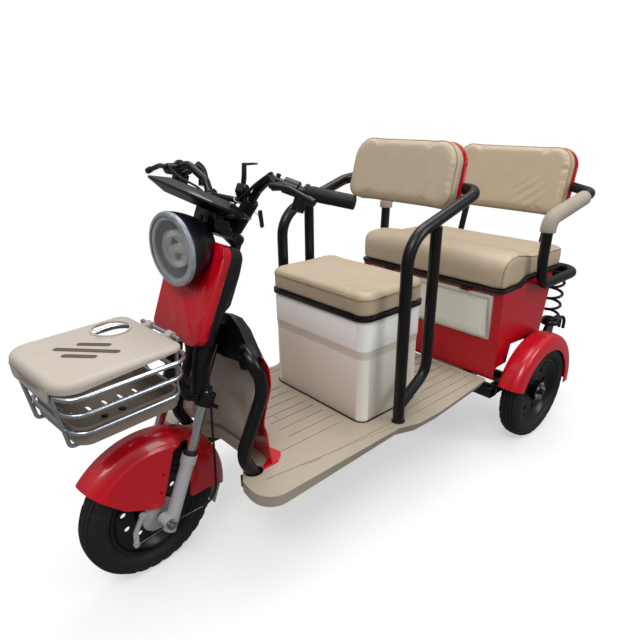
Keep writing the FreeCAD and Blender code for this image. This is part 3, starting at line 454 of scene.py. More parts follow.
def tyre_tread(centre):
    """A road tyre: four grooves round the tread and blocks cut into each shoulder."""
    half, tread_r, steps, pitch = 42.0, 200, 180, 6
    side = [(26, 130), (26, 137), (34, 142), (40, 152), (42, 164), (41.5, 172), (39, 181), (36, 187)]
    crown = []
    for rib in range(5):
        x = 29 - rib * 14.5
        for offset, drop in ((5.6, 0.0), (-5.6, 0.0), (-6.6, 4.0), (-7.9, 4.0)):
            u = x + offset
            crown.append((u, tread_r - abs(u / half) ** 3 * 17 - drop))
    profile = side + crown[:-2] + [(-x, r) for x, r in reversed(side)]
    bm = bmesh.new()
    bm.from_mesh(lathe(profile, centre, steps=steps))
    for v in bm.verts:
        across = abs(v.co.x - centre[0])
        out = Vector((0, v.co.y - centre[1], v.co.z - centre[2]))
        turn = round(math.degrees(math.atan2(out.y, out.z)) / (360 / steps)) % steps
        if 27 < across < 40 and out.length > 176 and turn % pitch in (0, 1):
            v.co -= out.normalized() * (3.5 if turn % pitch == 0 else 3.0)
    return mesh_of(bm)


def pierced_disc(profile, centre, holes, ring, hole_r, first=0.0):
    """A wheel section turned solid, with round holes through its disc."""
    mesh = lathe(profile, centre, steps=96)
    for i in range(holes):
        a = math.radians(first + 360 * i / holes)
        at = (centre[0], centre[1] - ring * math.sin(a), centre[2] + ring * math.cos(a))
        mesh = carved(mesh, lathe([(-60, 0), (60, 0), (60, hole_r), (-60, hole_r)], at, steps=20))
    return mesh


def rim_profile(hub_half, hub_r, bore_r):
    """The section of a pressed steel rim with its disc, hub and bore."""
    half, out = 29.0, 130.0
    return [(-half, out + 6), (-half, out - 4), (-half + 12, out - 12), (-6, out - 27), (-4, out - 34),
            (-4, hub_r + 10), (-8, hub_r), (-hub_half, hub_r), (-hub_half, bore_r), (hub_half, bore_r),
            (hub_half, hub_r), (8, hub_r), (4, hub_r + 10), (4, out - 32), (8, out - 22),
            (half - 10, out - 10), (half - 5, out - 4), (half, out - 2), (half, out + 6),
            (half - 3, out + 6), (half - 3, out), (-half + 3, out), (-half + 3, out + 6)]


def build_wheels():
    """Tyres with their tread, and rims with round holes."""
    front = (0, 0, WHEEL_R)
    piece("front_tyre_rubber", tyre_tread(front), TYRE, "front_wheel", "front_tyre", True)
    disc = pierced_disc(rim_profile(44, 55, 7.3), front, 10, 84, 9.5, 6)
    piece("front_rim_steel", disc, POWDER, "front_wheel", "front_rim", True)
    for name, side in SIDES:
        centre = (side * REAR_HALF, WHEELBASE, WHEEL_R)
        body = "rear_wheel_" + name
        piece("rear_tyre_rubber_" + name, tyre_tread(centre), TYRE, body, "rear_tyre_" + name)
        disc = pierced_disc(rim_profile(34, 40, 10.3), centre, 8, 84, 10, 12)
        piece("rear_rim_steel_" + name, disc, POWDER, body, "rear_rim_" + name)


def offset(line, by):
    """An open flat line moved sideways by a distance."""
    out = []
    for i, p in enumerate(line):
        a, b = line[max(i - 1, 0)], line[min(i + 1, len(line) - 1)]
        along = (Vector(b) - Vector(a)).normalized()
        out.append((p[0] - along.y * by, p[1] + along.x * by))
    return out


def build_fenders():
    """The front fender, cut to its outline round the fork leg, and the rear ones with a rolled bead."""
    edge = [(-60, 20), (-57, 185), (-50, 214), (-38, 233), (-22, 243.5), (0, 247), (22, 243.5), (38, 233),
            (50, 214), (57, 185), (60, 20)]
    line = [tuple(p)[:2] for p in spline([(x, r, 0) for x, r in edge], 5)]
    dome = lathe(line + offset(line, -2.5)[::-1], (0, 0, WHEEL_R), steps=120)
    side = rounded([(0, -250, 446), (0, -176, 362), (0, -96, 277), (0, 8, 222), (0, 60, 388), (0, 118, 402),
                    (0, 98, 204), (0, 190, 200), (0, 262, 150), (0, 262, 480), (0, -250, 480)],
                   [0, 30, 60, 16, 14, 14, 14, 20, 0, 0, 0])
    shell = carved(dome, slab([(x - 70, y, z) for x, y, z in side], (140, 0, 0)), "INTERSECT")
    for y, z in ((22, 330), (9, 276)):
        shell = carved(shell, lathe([(-80, 0), (80, 0), (80, 4), (-80, 4)], (0, y, z), steps=16))
    piece("front_fender_shell", shell, RED_ABS, "steering", "front_fender", True)
    edge = [(-40, 226), (-37, 233), (-29, 238.5), (-14, 241), (14, 241), (31, 238.5), (42, 231), (48, 214),
            (49, 198), (49, 180)]
    line = [tuple(p)[:2] for p in spline([(x, r, 0) for x, r in edge], 4)]
    bead = [(48 + 3 * math.cos(a), 184 + 3 * math.sin(a)) for a in (math.pi * k / 5 for k in range(10))]
    swept = [lathe([(s * x, r) for x, r in section], (s * REAR_HALF, WHEELBASE, WHEEL_R),
                   steps=72, start=-71, turn=166)
             for s in (-1, 1) for section in (line + offset(line, -3.0)[::-1], bead)]
    piece("rear_fender_shells", joined(*swept), RED_ABS, "root", "rear_fenders")


# Geometry Nodes for what repeats

def node_group(name, inputs):
    """A new geometry group with a mesh in and out and named inputs."""
    group = bpy.data.node_groups.new(name, "GeometryNodeTree")
    group.interface.new_socket("Geometry", in_out="OUTPUT", socket_type="NodeSocketGeometry")
    group.interface.new_socket("Geometry", in_out="INPUT", socket_type="NodeSocketGeometry")
    for label, kind in inputs:
        group.interface.new_socket(label, in_out="INPUT", socket_type="NodeSocket" + kind)
    return group, add(group, "NodeGroupInput").outputs


def end_group(group, instances, material):
    """Makes the instances real and gives them their material."""
    real = add(group, "GeometryNodeRealizeInstances", {0: instances})
    painted = add(group, "GeometryNodeSetMaterial", {"Geometry": real.outputs[0], "Material": material})
    add(group, "NodeGroupOutput", {0: painted.outputs[0]})
    return group


def beads_group():
    """Discs threaded on a line: stitches, ribs of a grip, folds of a bellows."""
    group, given = node_group("beads on a line", [("Spacing", "Float"), ("Radius", "Float"),
                                                  ("Depth", "Float"), ("Material", "Material")])
    curve = add(group, "GeometryNodeMeshToCurve", {0: given["Geometry"]})
    even = add(group, "GeometryNodeResampleCurve", {"Curve": curve.outputs[0], "Length": given["Spacing"]},
               mode="LENGTH")
    disc = add(group, "GeometryNodeMeshCylinder", {"Vertices": 20, "Radius": given["Radius"],
                                                   "Depth": given["Depth"]})
    ahead = add(group, "GeometryNodeInputTangent")
    turn = add(group, "FunctionNodeAlignRotationToVector", {"Vector": ahead.outputs[0]}, axis="Z")
    placed = add(group, "GeometryNodeInstanceOnPoints", {"Points": even.outputs[0],
                                                         "Instance": disc.outputs[0],
                                                         "Rotation": turn.outputs[0]})
    return end_group(group, placed.outputs[0], given["Material"])


def screws_group():
    """A hexagon head on a washer at each point, facing one way."""
    group, given = node_group("hexagon heads", [("Radius", "Float"), ("Facing", "Vector"),
                                                ("Material", "Material")])
    high = add(group, "ShaderNodeMath", {0: given["Radius"], 1: 1.3}, operation="MULTIPLY")
    wide = add(group, "ShaderNodeMath", {0: given["Radius"], 1: 1.5}, operation="MULTIPLY")
    thin = add(group, "ShaderNodeMath", {0: given["Radius"], 1: 0.4}, operation="MULTIPLY")
    nut = add(group, "GeometryNodeMeshCylinder", {"Vertices": 6, "Radius": given["Radius"],
                                                  "Depth": high.outputs[0]})
    washer = add(group, "GeometryNodeMeshCylinder", {"Vertices": 20, "Radius": wide.outputs[0],
                                                     "Depth": thin.outputs[0]})
    both = add(group, "GeometryNodeJoinGeometry", {0: nut.outputs[0]})
    group.links.new(washer.outputs[0], both.inputs[0])
    turn = add(group, "FunctionNodeAlignRotationToVector", {"Vector": given["Facing"]}, axis="Z")
    placed = add(group, "GeometryNodeInstanceOnPoints", {"Points": given["Geometry"],
                                                         "Instance": both.outputs[0],
                                                         "Rotation": turn.outputs[0]})
    return end_group(group, placed.outputs[0], given["Material"])


BEADS, SCREWS = beads_group(), screws_group()


def grown(mesh, group, **values):
    """The mesh that a geometry group makes of another with these inputs."""
    obj = linked("work", mesh)
    modifier = obj.modifiers.new("grow", "NODES")
    modifier.node_group = group
    for item in group.interface.items_tree:
        if item.in_out == "INPUT" and item.name in values:
            modifier[item.identifier] = values[item.name]
    return taken(obj)


def wire_mesh(line):
    """A line of points as a mesh of edges."""
    bm = bmesh.new()
    verts = [bm.verts.new(p) for p in line]
    for a, b in zip(verts, verts[1:]):
        bm.edges.new((a, b))
    return mesh_of(bm)


def beads(name, lines, spacing, radius, depth, material, body, steered=False):
    """Discs along some lines as one piece."""
    discs = [grown(wire_mesh(line), BEADS, Spacing=spacing, Radius=radius, Depth=depth) for line in lines]
    piece(name, joined(*discs), material, body, steered=steered)


def screws(name, points, facing, radius, material, body, steered=False):
    """Hexagon heads at some points as one piece."""
    bm = bmesh.new()
    for p in points:
        bm.verts.new(p)
    mesh = grown(mesh_of(bm), SCREWS, Radius=radius, Facing=facing)
    piece(name, mesh, material, body, steered=steered, smooth=25)


def cable(name, points, radius, material):
    """A cable or string of the front end along a smooth line."""
    line = spline(points, 10)
    obj = fitted(name, tube(line, radius, 10), material, 180)


# What is turned about the lamp's axis: piece, finish, node it replaces, slot, steps round, and its section
LAMP_PARTS = [
    ("headlamp_bowl_shell", BOWL_ABS, "headlamp_bowl", None, 72,
     [(0, 86.6), (-2, 88), (-2, 91), (0, 93), (8, 94), (20, 92.5), (34, 89), (52, 83), (70, 75), (88, 64),
      (102, 51), (113, 35), (119, 18), (120, 0.01), (114, 0.01), (98, 44), (80, 64), (60, 76), (30, 85),
      (6, 86.6)]),
    ("headlamp_lens_glass", GLASS, "headlamp_lens", None, 72,
     [(0, 0.01), (-3, 30), (-3.5, 55), (-2.4, 74), (0, 86), (4, 86), (1, 74), (-0.5, 55), (0, 30),
      (2, 0.01)]),
    ("headlamp_ring", SILVER, None, "alloy", 72, [(1.2, 86), (1.2, 76), (3.0, 73), (6.0, 73), (6.0, 86)]),
    ("headlamp_rim", RIM_STREAKED, None, "lens", 72,
     [(-3.2, 84), (-3.8, 88), (-2.6, 92), (1, 94), (7, 94.8), (7, 94), (1, 93.2), (-1.8, 91), (-2.4, 88),
      (-2.2, 84)]),
    ("headlamp_reflector", LAMP_GREY, None, "alloy", 72,
     [(7, 82), (20, 79), (30, 66), (34, 52), (40, 50), (54, 40), (64, 18), (66, 18), (57, 42), (42, 53),
      (36, 54), (32, 68), (22, 81), (7, 84)]),
    ("headlamp_halo", CREAM, None, "cream_plastic", 72, [(20, 47), (20, 34), (24, 33), (30, 48)]),
    ("headlamp_bulb_shield", CREAM, None, "cream_plastic", 32,
     [(16, 0.01), (17, 8), (22, 13), (56, 14), (66, 14), (66, 0.01)])]


def build_lamp():
    for name, material, node, slot, steps, section in LAMP_PARTS:
        piece(name, lathe(section, LAMP_CENTRE, "Y", steps), material, "steering", node, True)


def slot_cutter(x0, y0, x1, y1, z0, z1, width):
    """A round-ended slot between two points, as deep as two heights."""
    a, b = Vector((x0, y0, z0)), Vector((x1, y1, z0))
    side = (b - a).normalized().cross(Vector((0, 0, 1))) * width / 2
    ends = (b - a).normalized() * width / 2
    corners = [a - ends - side, b + ends - side, b + ends + side, a - ends + side]
    return slab(rounded(corners, width * 0.49, 4), (0, 0, z1 - z0))


def cut_node(node, cutters, steered=False):
    """A CAD node's mesh less some cutters drawn in mm."""
    tool = joined(*cutters)
    tool.transform(TO_ROOT)
    if steered:
        tool.transform(PARKED)
    return carved(merged(node), tool, crossed=True)


# Each slot in the basket lid runs from x0, y0 to x1, y1
LID_SLOTS = [(-32, -97, 15, -54), (-43, -148, 63, -58), (3, -150, 51, -108)]


def build_basket():
    """The lid with its slots, closed beneath by dark plates painted as the shade inside them, and deeper front
    lip, and the tray with its slots and drain holes.
    """
    lid_z = 735
    lid = cut_node("basket_lid", [slot_cutter(*ends, 700, 760, 12) for ends in LID_SLOTS], True)
    lid.transform((TO_ROOT.inverted() @ PARKED.inverted()))
    for v in lid.vertices:
        if v.co.z < lid_z - 1 and v.co.y < 78:
            rearward = max(0, min(1, (v.co.y + 150) / 220))
            v.co.z = lid_z - (lid_z - v.co.z) * (1.0 - 0.55 * rearward)
    lip = slab(rounded([(-100, -236, 716), (-92, -236, 681), (92, -236, 681), (100, -236, 716)],
                       [0, 12, 12, 0]), (0, 3, 0))
    # Painted shade: a dark brown plate closes each lid slot from beneath, standing for the shade inside the slot
    shade_plates = [slot_cutter(*ends, lid_z - 2, lid_z + 0.2, 18) for ends in LID_SLOTS]
    fitted("lid_slot_shade_plates", joined(*shade_plates), SLOT_SHADE, body="basket_lid")
    piece("basket_lid_finish", joined(lid, lip), BEIGE, "basket_lid", "basket_lid", True, smooth=30)
    cuts = [slot_cutter(-38, y, -8, y, 550, 580, 9) for y in (-150, -108, -66, -24, 18)]
    cuts += [slot_cutter(74, y, 77, y, 550, 580, 5) for y in (-170, -120, -70, -20, 30)]
    cuts += [slot_cutter(x, -172, x + 2, -172, 550, 580, 5) for x in (-90, -60, 100)]
    mesh = cut_node("basket_tray", cuts, True)
    piece("basket_tray_finish", mesh, TRAY_SHADED_PP, "steering", "basket_tray", smooth=30, in_mm=False)
    plugs = [tube([(34, y, 564), (34, y, 567), (34, y, 569)], [9, 9, 6], 20) for y in (-98, -52)]
    fitted("tray_plugs", joined(*plugs), BLACK_ABS, 50)


def sheet_between(xs, zs, place, thick):
    """A thin sheet over a grid, from a function that gives each point, thickened rearward."""
    bm = bmesh.new()
    front = [[bm.verts.new(place(x, z)) for z in zs] for x in xs]
    back = [[bm.verts.new(Vector(place(x, z)) + Vector((0, thick, 0))) for z in zs] for x in xs]
    m, n = len(xs) - 1, len(zs) - 1
    for i in range(m):
        for k in range(n):
            bm.faces.new((front[i][k], front[i + 1][k], front[i + 1][k + 1], front[i][k + 1]))
            bm.faces.new((back[i][k], back[i][k + 1], back[i + 1][k + 1], back[i + 1][k]))
    rim = ([(i, 0) for i in range(m)] + [(m, k) for k in range(n)] + [(i, n) for i in range(m, 0, -1)]
           + [(0, k) for k in range(n, 0, -1)])
    for (i, k), (j, h) in zip(rim, rim[1:] + rim[:1]):
        bm.faces.new((front[i][k], back[i][k], back[j][h], front[j][h]))
    bmesh.ops.recalc_face_normals(bm, faces=bm.faces)
    return mesh_of(bm)


def build_liner():
    """The red sheet behind the leg shield, with its flange on the floor behind each side tube."""
    rows = spline([(300, 298, 316), (291, 350, 317), (284, 410, 318), (276, 446, 321), (290, 500, 325),
                   (305, 552, 327), (302, 604, 330), (286, 641, 330)], 5)
    half = [200, 180, 160, 140, 120, 100, 80, 66, 40]
    xs = [-x for x in half] + [0] + half[::-1]
    shoulder, shoulder_half, flat_half, edge_half = 0.845, 140, 66, 200

    def place(x, k):
        past = abs(x) - shoulder_half
        top = shoulder if past <= 0 else min(1.0, shoulder + past / 28 * (1 - shoulder))
        at = k * top * (len(rows) - 1)
        low = int(min(at, len(rows) - 1.001))
        row = rows[low].lerp(rows[low + 1], at - low)
        side = min(max((abs(x) - flat_half) / (edge_half - flat_half), 0), 1)
        return (x, row[2] * (1 - side) + row[0] * side, row[1])

    flanges = [slab(rounded([(s * 203, 258, 298.5), (s * 203, 318, 298.5), (s * 176, 352, 298.5),
                             (s * 120, 340, 298.5), (s * 120, 312, 298.5), (s * 176, 300, 298.5)],
                            [4, 16, 16, 12, 4, 8]), (0, 0, 7)) for s in (-1, 1)]
    sheet = sheet_between(xs, [k / 36 for k in range(37)], place, 4)
    piece("leg_shield_liner_finish", joined(sheet, *flanges), RED_ABS, "root", "leg_shield_liner",
          smooth=40)


# Each groove of the floor's left half runs from x0, y0 to x1, y1
FLOOR_GROOVES = [(20, 430, 20, 616), (68, 430, 68, 616), (118, 430, 118, 616), (166, 348, 166, 616),
                 (243, 244, 307, 700), (273, 383, 286, 724), (262, 800, 262, 1212), (300, 800, 300, 1200),
                 (20, 965, 20, 1222), (60, 965, 60, 1222), (100, 965, 100, 1222), (140, 965, 140, 1222),
                 (180, 965, 180, 1222), (221, 965, 221, 1218)]


def build_floor():
    """The grooved floor, and what stands on it: the rails' feet, the box's latch, and a thin black strip round the
    box's foot as painted shade for its shadow line.
    """
    cuts = [slot_cutter(s * x0, y0, s * x1, y1, 295.2, 312, 5.4)
            for s in (-1, 1) for x0, y0, x1, y1 in FLOOR_GROOVES]
    piece("footboard_finish", cut_node("footboard", cuts), FLOOR_PP, "root", "footboard", smooth=30,
          in_mm=False)
    foot = [tube([(s * 293, 753, FLOOR_TOP + z) for z in (0.2, 2, 4)], [23, 23, 20], 24) for s in (-1, 1)]
    piece("rail_feet", joined(*foot), POWDER, "root", smooth=40)
    # Painted shade: a thin black rubber strip round the box's foot stands for the shadow line under the box
    seal = slab(seat_ring(-230, 230, 644, 936, FLOOR_TOP + 0.3, 36), (0, 0, 2.4))
    piece("box_foot_shade_strip", seal, RUBBER, "root")
    latch = slab(rounded([(229, y, z) for y, z in ((832, 586), (848, 586), (848, 596), (832, 596))], 3),
                 (7, 0, 0))
    knob = tube([(233, 840, 591), (240, 840, 591), (243, 840, 591)], [4, 4, 6], 16)
    piece("box_latch", joined(latch, knob), BLACK_ABS, "root")


# Cables from the handlebar into the column: name, radius, and points beside the steering axis
CABLES = [
    ("brake_cable_left", 3.2, [(214, 120, 914), (196, 112, 930), (170, 100, 948), (148, 96, 938),
                               (112, 88, 918), (84, 86, 892), (52, 84, 862), (30, 70, 836)]),
    ("throttle_cable_left", 2.6, [(232, 100, 918), (204, 116, 922), (172, 108, 938), (140, 100, 926),
                                  (104, 90, 902), (72, 74, 872), (44, 62, 838)]),
    ("brake_cable_right", 3.2, [(-214, 120, 914), (-190, 124, 906), (-150, 118, 892), (-100, 96, 880),
                                (-62, 78, 858), (-40, 66, 834)])]


def build_controls():
    """What sits on the handlebar: bellows, grip ribs, switch box, bell, cables, key."""
    legs = [[head(s * 34, 46.5, 803), head(s * 85, 64, 875)] for s in (-1, 1)]
    beads("riser_bellows", legs, 7.5, 20.5, 4.0, RUBBER, "steering", True)
    grips = [[head(s * x, 63 - (x - 262) * 0.396, 924 + (x - 262) * 0.047) for x in (276, 318)]
             for s in (-1, 1)]
    beads("grip_ribs", grips, 4.2, 17.7, 2.0, RUBBER, "steering", True)
    back = spline([head(-218, 36, 950), head(-213, 18, 942), head(-208, 6, 922), head(-204, 2, 902)], 6)
    stem = [head(-226, 56, 886), head(-228, 60, 912)]
    fitted("switch_housing", joined(tube(back, 15, 14), tube(stem, [13, 16], 20)), BLACK_ABS,
           60)
    way = (head(0, 34, 60) - head(0, 0, 0)).normalized()
    low = head(-235, 58, 914)
    ring = [low + way * k for k in (0, 6, 16, 24)]
    fitted("bell_ring", tube(ring, [25, 27, 27, 24], 32), GLOSS_ABS, 30)
    dome = [low + way * k for k in (24.0, 27.0, 29.5, 30.5)]
    fitted("bell_dome", tube(dome, [22.5, 20.5, 14, 4], 32), CHROME, 60)
    fitted("horn_button", tube([head(190, 95, 938), head(190, 95, 950)], [5, 6], 12), BLACK_ABS)
    for k, x in enumerate((-14, 14)):
        ends = ((x - 5, 792), (x + 5, 792), (x + 5, 810), (x - 5, 810))
        hole = slab(rounded([head(u, 128.5, v) for u, v in ends], 4.9), head(0, 1, 0) - head(0, 0.4, 0))
        fitted("case_slot_%d" % k, hole, RUBBER)
    tag = slab(rounded([(71, 0, 0), (71, 13, 3), (71, 20, -44), (71, 8, -47)], 4.5), (3, 0, 0))
    tag.transform(Matrix.Translation(head(0, 16, 866) - Vector((0, 6, 2))))
    fitted("key_fob", tag, BLACK_ABS)
    for name, radius, points in CABLES:
        cable(name, [head(*p) for p in points], radius, RUBBER)
    front = [(78, 214, 668), (98, 176, 630), (104, 160, 590), (104, 162, 529), (104, 161, 440),
             (104, 161, 350), (104, 159.5, 281), (104, 156, 228), (104, 136, 200), (100, 112, 188)]
    cable("front_brake_cable", front, 3.4, RUBBER)
    string = [head(*p) for p in ((58, 98, 878), (60, 94, 866), (66, 62, 866), (70, 40, 860), (71, 14, 852))]
    cable("key_string", string, 1.3, CREAM)
    wire = tube(spline([(100, 112, 188), (84, 70, 176), (66, 10, 160), (59, -80, 150)], 6), 1.2, 8)
    fitted("brake_wire", wire, ZINC)


def build_fork_details():
    """Crown rings with ears, dust seals, brake arm, ribbed drum edge and axle nuts."""
    for name, s in SIDES:
        x = s * FORK_HALF
        seal = tube([head(x, 34, u) for u in (171, 172, 178, 184, 186)], [18.5, 20, 20, 17, 15], 32)
        fitted("dust_seal_" + name, seal, RUBBER, 40)
        ears = [tube([head(x - 36, 46, 330), head(x - 20, 42, 330)], 6, 14),
                tube([head(x + 20, 22, 326), head(x + 38, 18, 326)], 6, 14)]
        fitted("crown_ears_" + name, joined(*ears), BLACK_ABS)
    screws("front_axle_nuts", [(115, 0, 200), (-115, 0, 200)], (1, 0, 0), 9, ZINC, "steering", True)
    plate = [(49, 0.01), (49, 48), (46, 52), (41, 53), (41, 45), (45, 40), (45, 0.01)]
    arm = slab([(51, y, z) for y, z in ((-44, 236), (-60, 232), (-85, 190), (-88, 148), (-74, 146),
                                        (-71, 186))], (5, 0, 0))
    eyes = [tube([(50, y, z), (58, y, z)], r, 20) for y, z, r in ((-52, 232, 10), (-81, 149, 9))]
    edge = []
    for k in range(36):
        a = math.radians(10 * k)
        edge.append(tube([(49.3, 44 * math.sin(a), 200 + 44 * math.cos(a)),
                          (46.5, 52.6 * math.sin(a), 200 + 52.6 * math.cos(a))], 1.3, 6))
    drum = joined(lathe(plate, (0, 0, WHEEL_R), steps=72), arm, *eyes, *edge)
    piece("brake_drum_plate", drum, SILVER, "steering", "brake_plate", True, smooth=40)


def coil(centre, low, high, radius, wire, turns):
    """An open coil spring with its end turns laid flat."""
    steps, flat = int(turns * 28), 0.8
    line = []
    for k in range(steps + 1):
        wound = turns * k / steps
        rise = min(max((wound - flat) / (turns - 2 * flat), 0), 1)
        sunk = wire * 1.9 * (min(wound, flat) / flat - 1)
        a = 2 * math.pi * wound
        line.append((centre[0] + radius * math.cos(a), centre[1] + radius * math.sin(a),
                     low + wire + (high - low - 2 * wire) * rise + sunk))
    return tube(line, wire, 10)


def build_springs():
    """Open coils with their seats, and the arched bracket behind each."""
    coils = [coil((s * SPRING_HALF, SPRING_Y), 421, 616, 29.0, 5.9, 5.4) for s in (-1, 1)]
    piece("coil_springs", joined(*coils), POWDER, "root", "rear_springs", smooth=180)
    seats = [tube([(s * SPRING_HALF, SPRING_Y, z) for z in heights], radii, 32) for s in (-1, 1)
             for heights, radii in (((410, 412, 420), (38, 38, 33)), ((600, 606, 616), (28, 36, 36)))]
    for s in (-1, 1):
        arch = spline([(s * x, y, z) for x, y, z in ((336, 1700, 402), (345, 1730, 424), (348, 1758, 428),
                                                     (350, 1778, 408), (350, 1780, 372))], 6)
        seats += [tube([p + Vector((dx, 0, 0)) for p in arch], 7, 12) for dx in (-9, 9)]
    piece("spring_seats", joined(*seats), BLACK_ABS, "root", smooth=40)


def build_hubs():
    """Five bolts on each rear hub and six small ones on each face of the front hub."""
    for name, side in SIDES:
        x = side * (REAR_HALF + 34.5)
        ring = [(x, WHEELBASE + 29 * math.sin(a), WHEEL_R + 29 * math.cos(a))
                for a in (math.radians(72 * k + 20) for k in range(5))]
        screws("hub_bolts_" + name, ring, (1, 0, 0), 7.5, WIRE, "rear_wheel_" + name)
    ring = [(s * 44.5, 34 * math.sin(a), WHEEL_R + 34 * math.cos(a)) for s in (-1, 1)
            for a in (math.radians(60 * k) for k in range(6))]
    screws("front_hub_bolts", ring, (1, 0, 0), 4.0, ZINC, "front_wheel", True)


def laid_on(mesh, points, lift):
    """A line laid on a surface, lifted off it by a distance; the mesh is in metres, the points in mm."""
    tree = BVHTree.FromPolygons([v.co for v in mesh.vertices], [f.vertices for f in mesh.polygons])
    back = TO_ROOT.inverted()
    line = []
    for p in points:
        hit, normal, face, away = tree.find_nearest(TO_ROOT @ Vector(p))
        line.append(back @ (hit + normal * lift / 1000))
    return line


def even_line(points, step, closed):
    """Points at even steps along a line."""
    pts = [Vector(p) for p in points] + ([Vector(points[0])] if closed else [])
    out = []
    for a, b in zip(pts, pts[1:]):
        n = max(1, round((b - a).length / step))
        out += [a.lerp(b, k / n) for k in range(n)]
    return out + [pts[-1]]


def seat_ring(x0, x1, y0, y1, z, corner):
    """A level rectangle with rounded corners."""
    return rounded([(x0, y0, z), (x1, y0, z), (x1, y1, z), (x0, y1, z)], corner)


def back_ring(half, y, z, height, ahead, inset):
    """The outline of a backrest a distance ahead of its rear face."""
    lean = math.radians(15)
    up, out = Vector((0, math.sin(lean), math.cos(lean))), Vector((0, -math.cos(lean), math.sin(lean)))
    low = Vector((0, y, z)) - out * 48 + out * ahead
    wide = half - inset
    corners = [low + Vector((-wide, 0, 0)) + up * inset, low + Vector((wide, 0, 0)) + up * inset,
               low + Vector((wide - 6, 0, 0)) + up * (height - inset),
               low + Vector((-wide + 6, 0, 0)) + up * (height - inset)]
    return rounded(corners, [max(50 - inset, 20)] * 2 + [max(80 - inset, 30)] * 2)


def inflated(node, cap, voxel, rounds):
    """A pad blown up from its plain solid, by a cap in mm at most, so that it crowns between its corners."""
    mesh = merged(node)
    low, high = [Vector(c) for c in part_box(node)]
    middle, size = (low + high) / 2, high - low
    drawn_in = [1 - 2 * PAD_SHRINK / 1000 / size[i] for i in range(3)]
    for v in mesh.vertices:
        v.co = middle + Vector([(v.co[i] - middle[i]) * drawn_in[i] for i in range(3)])
    mesh = applied(mesh, ("REMESH", {"mode": "VOXEL", "voxel_size": voxel / 1000}),
                   ("SMOOTH", {"factor": 0.5, "iterations": rounds}))
    rest = [v.co.copy() for v in mesh.vertices]
    obj = linked("pad", mesh)
    cloth = obj.modifiers.new("cloth", "CLOTH")
    cloth.settings.use_pressure = True
    cloth.settings.uniform_pressure_force = PAD_PRESSURE
    cloth.settings.effector_weights.gravity = 0
    cloth.settings.quality = 4
    for number in range(1, 21):
        bpy.context.scene.frame_set(number)
    mesh = bpy.data.meshes.new_from_object(obj.evaluated_get(bpy.context.evaluated_depsgraph_get()))
    bpy.data.objects.remove(obj)
    bpy.context.scene.frame_set(1)
    for v, start in zip(mesh.vertices, rest):
        move = v.co - start
        if move.length > cap / 1000:
            move = move.normalized() * cap / 1000
        v.co = start + move
        v.co = Vector([min(max(v.co[i], low[i] - 0.002), high[i] + 0.002) for i in range(3)])
    return applied(mesh, ("SUBSURF", {"levels": 1, "render_levels": 1}))


def build_cushions():
    """Padded covers with a welt along each seam and a row of stitches beside it."""
    seams = {
        "seat_cushion": [seat_ring(-235, 235, 639, 941, 722, 41)],
        "front_backrest": [back_ring(236, 1018, 948, 222, 44, 3), back_ring(236, 1018, 948, 222, 8, 0)],
        "rear_backrest": [back_ring(284, 1729, 846, 280, 44, 3), back_ring(284, 1729, 846, 280, 8, 0)],
        "bench_cushion": [[(s * 354, y, z) for y, z in
                           ((1700, 747), (1600, 750), (1470, 753), (1400, 763), (1330, 778), (1275, 774),
                            (1238, 752), (1222, 712), (1221, 658))] for s in (-1, 1)]}
    for node, body, cap, voxel, rounds in (
            ("seat_cushion", "seat_lid", 5, 6, 3), ("front_backrest", "root", 7, 6, 5),
            ("rear_backrest", "root", 8, 6, 5), ("bench_cushion", "bench_lid", 7, 8, 16)):
        mesh = inflated(node, cap, voxel, rounds)
        welts, stitches = [], []
        for line in seams[node]:
            line = even_line(line, 8, closed=len(line) > 12)
            welts.append(tube(laid_on(mesh, line, 0.3), 1.9, 8))
            stitches.append(laid_on(mesh, [p - Vector((0, 0, 6)) for p in line], 0.3))
        material = BACK_LEATHER if node == "rear_backrest" else LEATHER
        piece(node + "_cover", mesh, material, body, node, smooth=180, in_mm=False)
        piece(node + "_welts", joined(*welts), PIPING, body, smooth=180)
        beads(node + "_stitches", stitches, 6.5, 0.7, 3.8, PIPING, body)


# CAD nodes that keep their form: finish, and the width in mm by which sharp edges are rounded
SOFTENED = [
    ("front_axle", ZINC, 1.0), ("fork_legs", SILVER, 1.5), ("panel_struts", BLACK_ABS, 1.0),
    ("fork_stanchions", CHROME, 0.5), ("fork_yoke", BLACK_ABS, 3.0), ("front_panel", RED_PANEL, 5.0),
    ("panel_shell", BLACK_ABS, 3.0), ("dash_pod", GLOSS_ABS, 3.0), ("handlebar", POWDER, 1.0),
    ("grips", RUBBER, 2.0), ("brake_perches", BLACK_ABS, 2.0), ("brake_levers", POWDER, 1.0),
    ("mud_flap", BEIGE, 0.8), ("hook", POWDER, 1.0), ("basket_frame", WIRE, 0.8),
    ("basket_bracket", POWDER, 1.0),
    ("front_frame", POWDER, 1.0), ("chassis", POWDER, 2.0), ("leg_shield", SHIELD_SHADED_PP, 1.5),
    ("seat_box", BOX_WHITE, 3.0),
    ("seat_pan", BLACK_ABS, 2.0), ("bench_pan", BLACK_ABS, 2.0), ("front_backrest_shell", RED_ABS, 3.0),
    ("rear_backrest_shell", RED_ABS, 3.0), ("grab_rails", POWDER, 1.0), ("bench_frame", POWDER, 1.0),
    ("arm_pads", FOAM, 2.0), ("rear_body", RED, 0), ("rear_hatch", CREAM, 0), ("battery", BLACK_ABS, 3.0),
    ("rear_axle", POWDER, 1.5), ("motor", SILVER, 4.0), ("neck_cover", BLACK_ABS, 5.0)]


def build_softened():
    bodies = frame["record"]["behaviour"]["bodies"]
    owner = {node: body for body, nodes in bodies.items() for node in nodes}
    for node, material, width in SOFTENED:
        softened(node, material, owner[node], width)


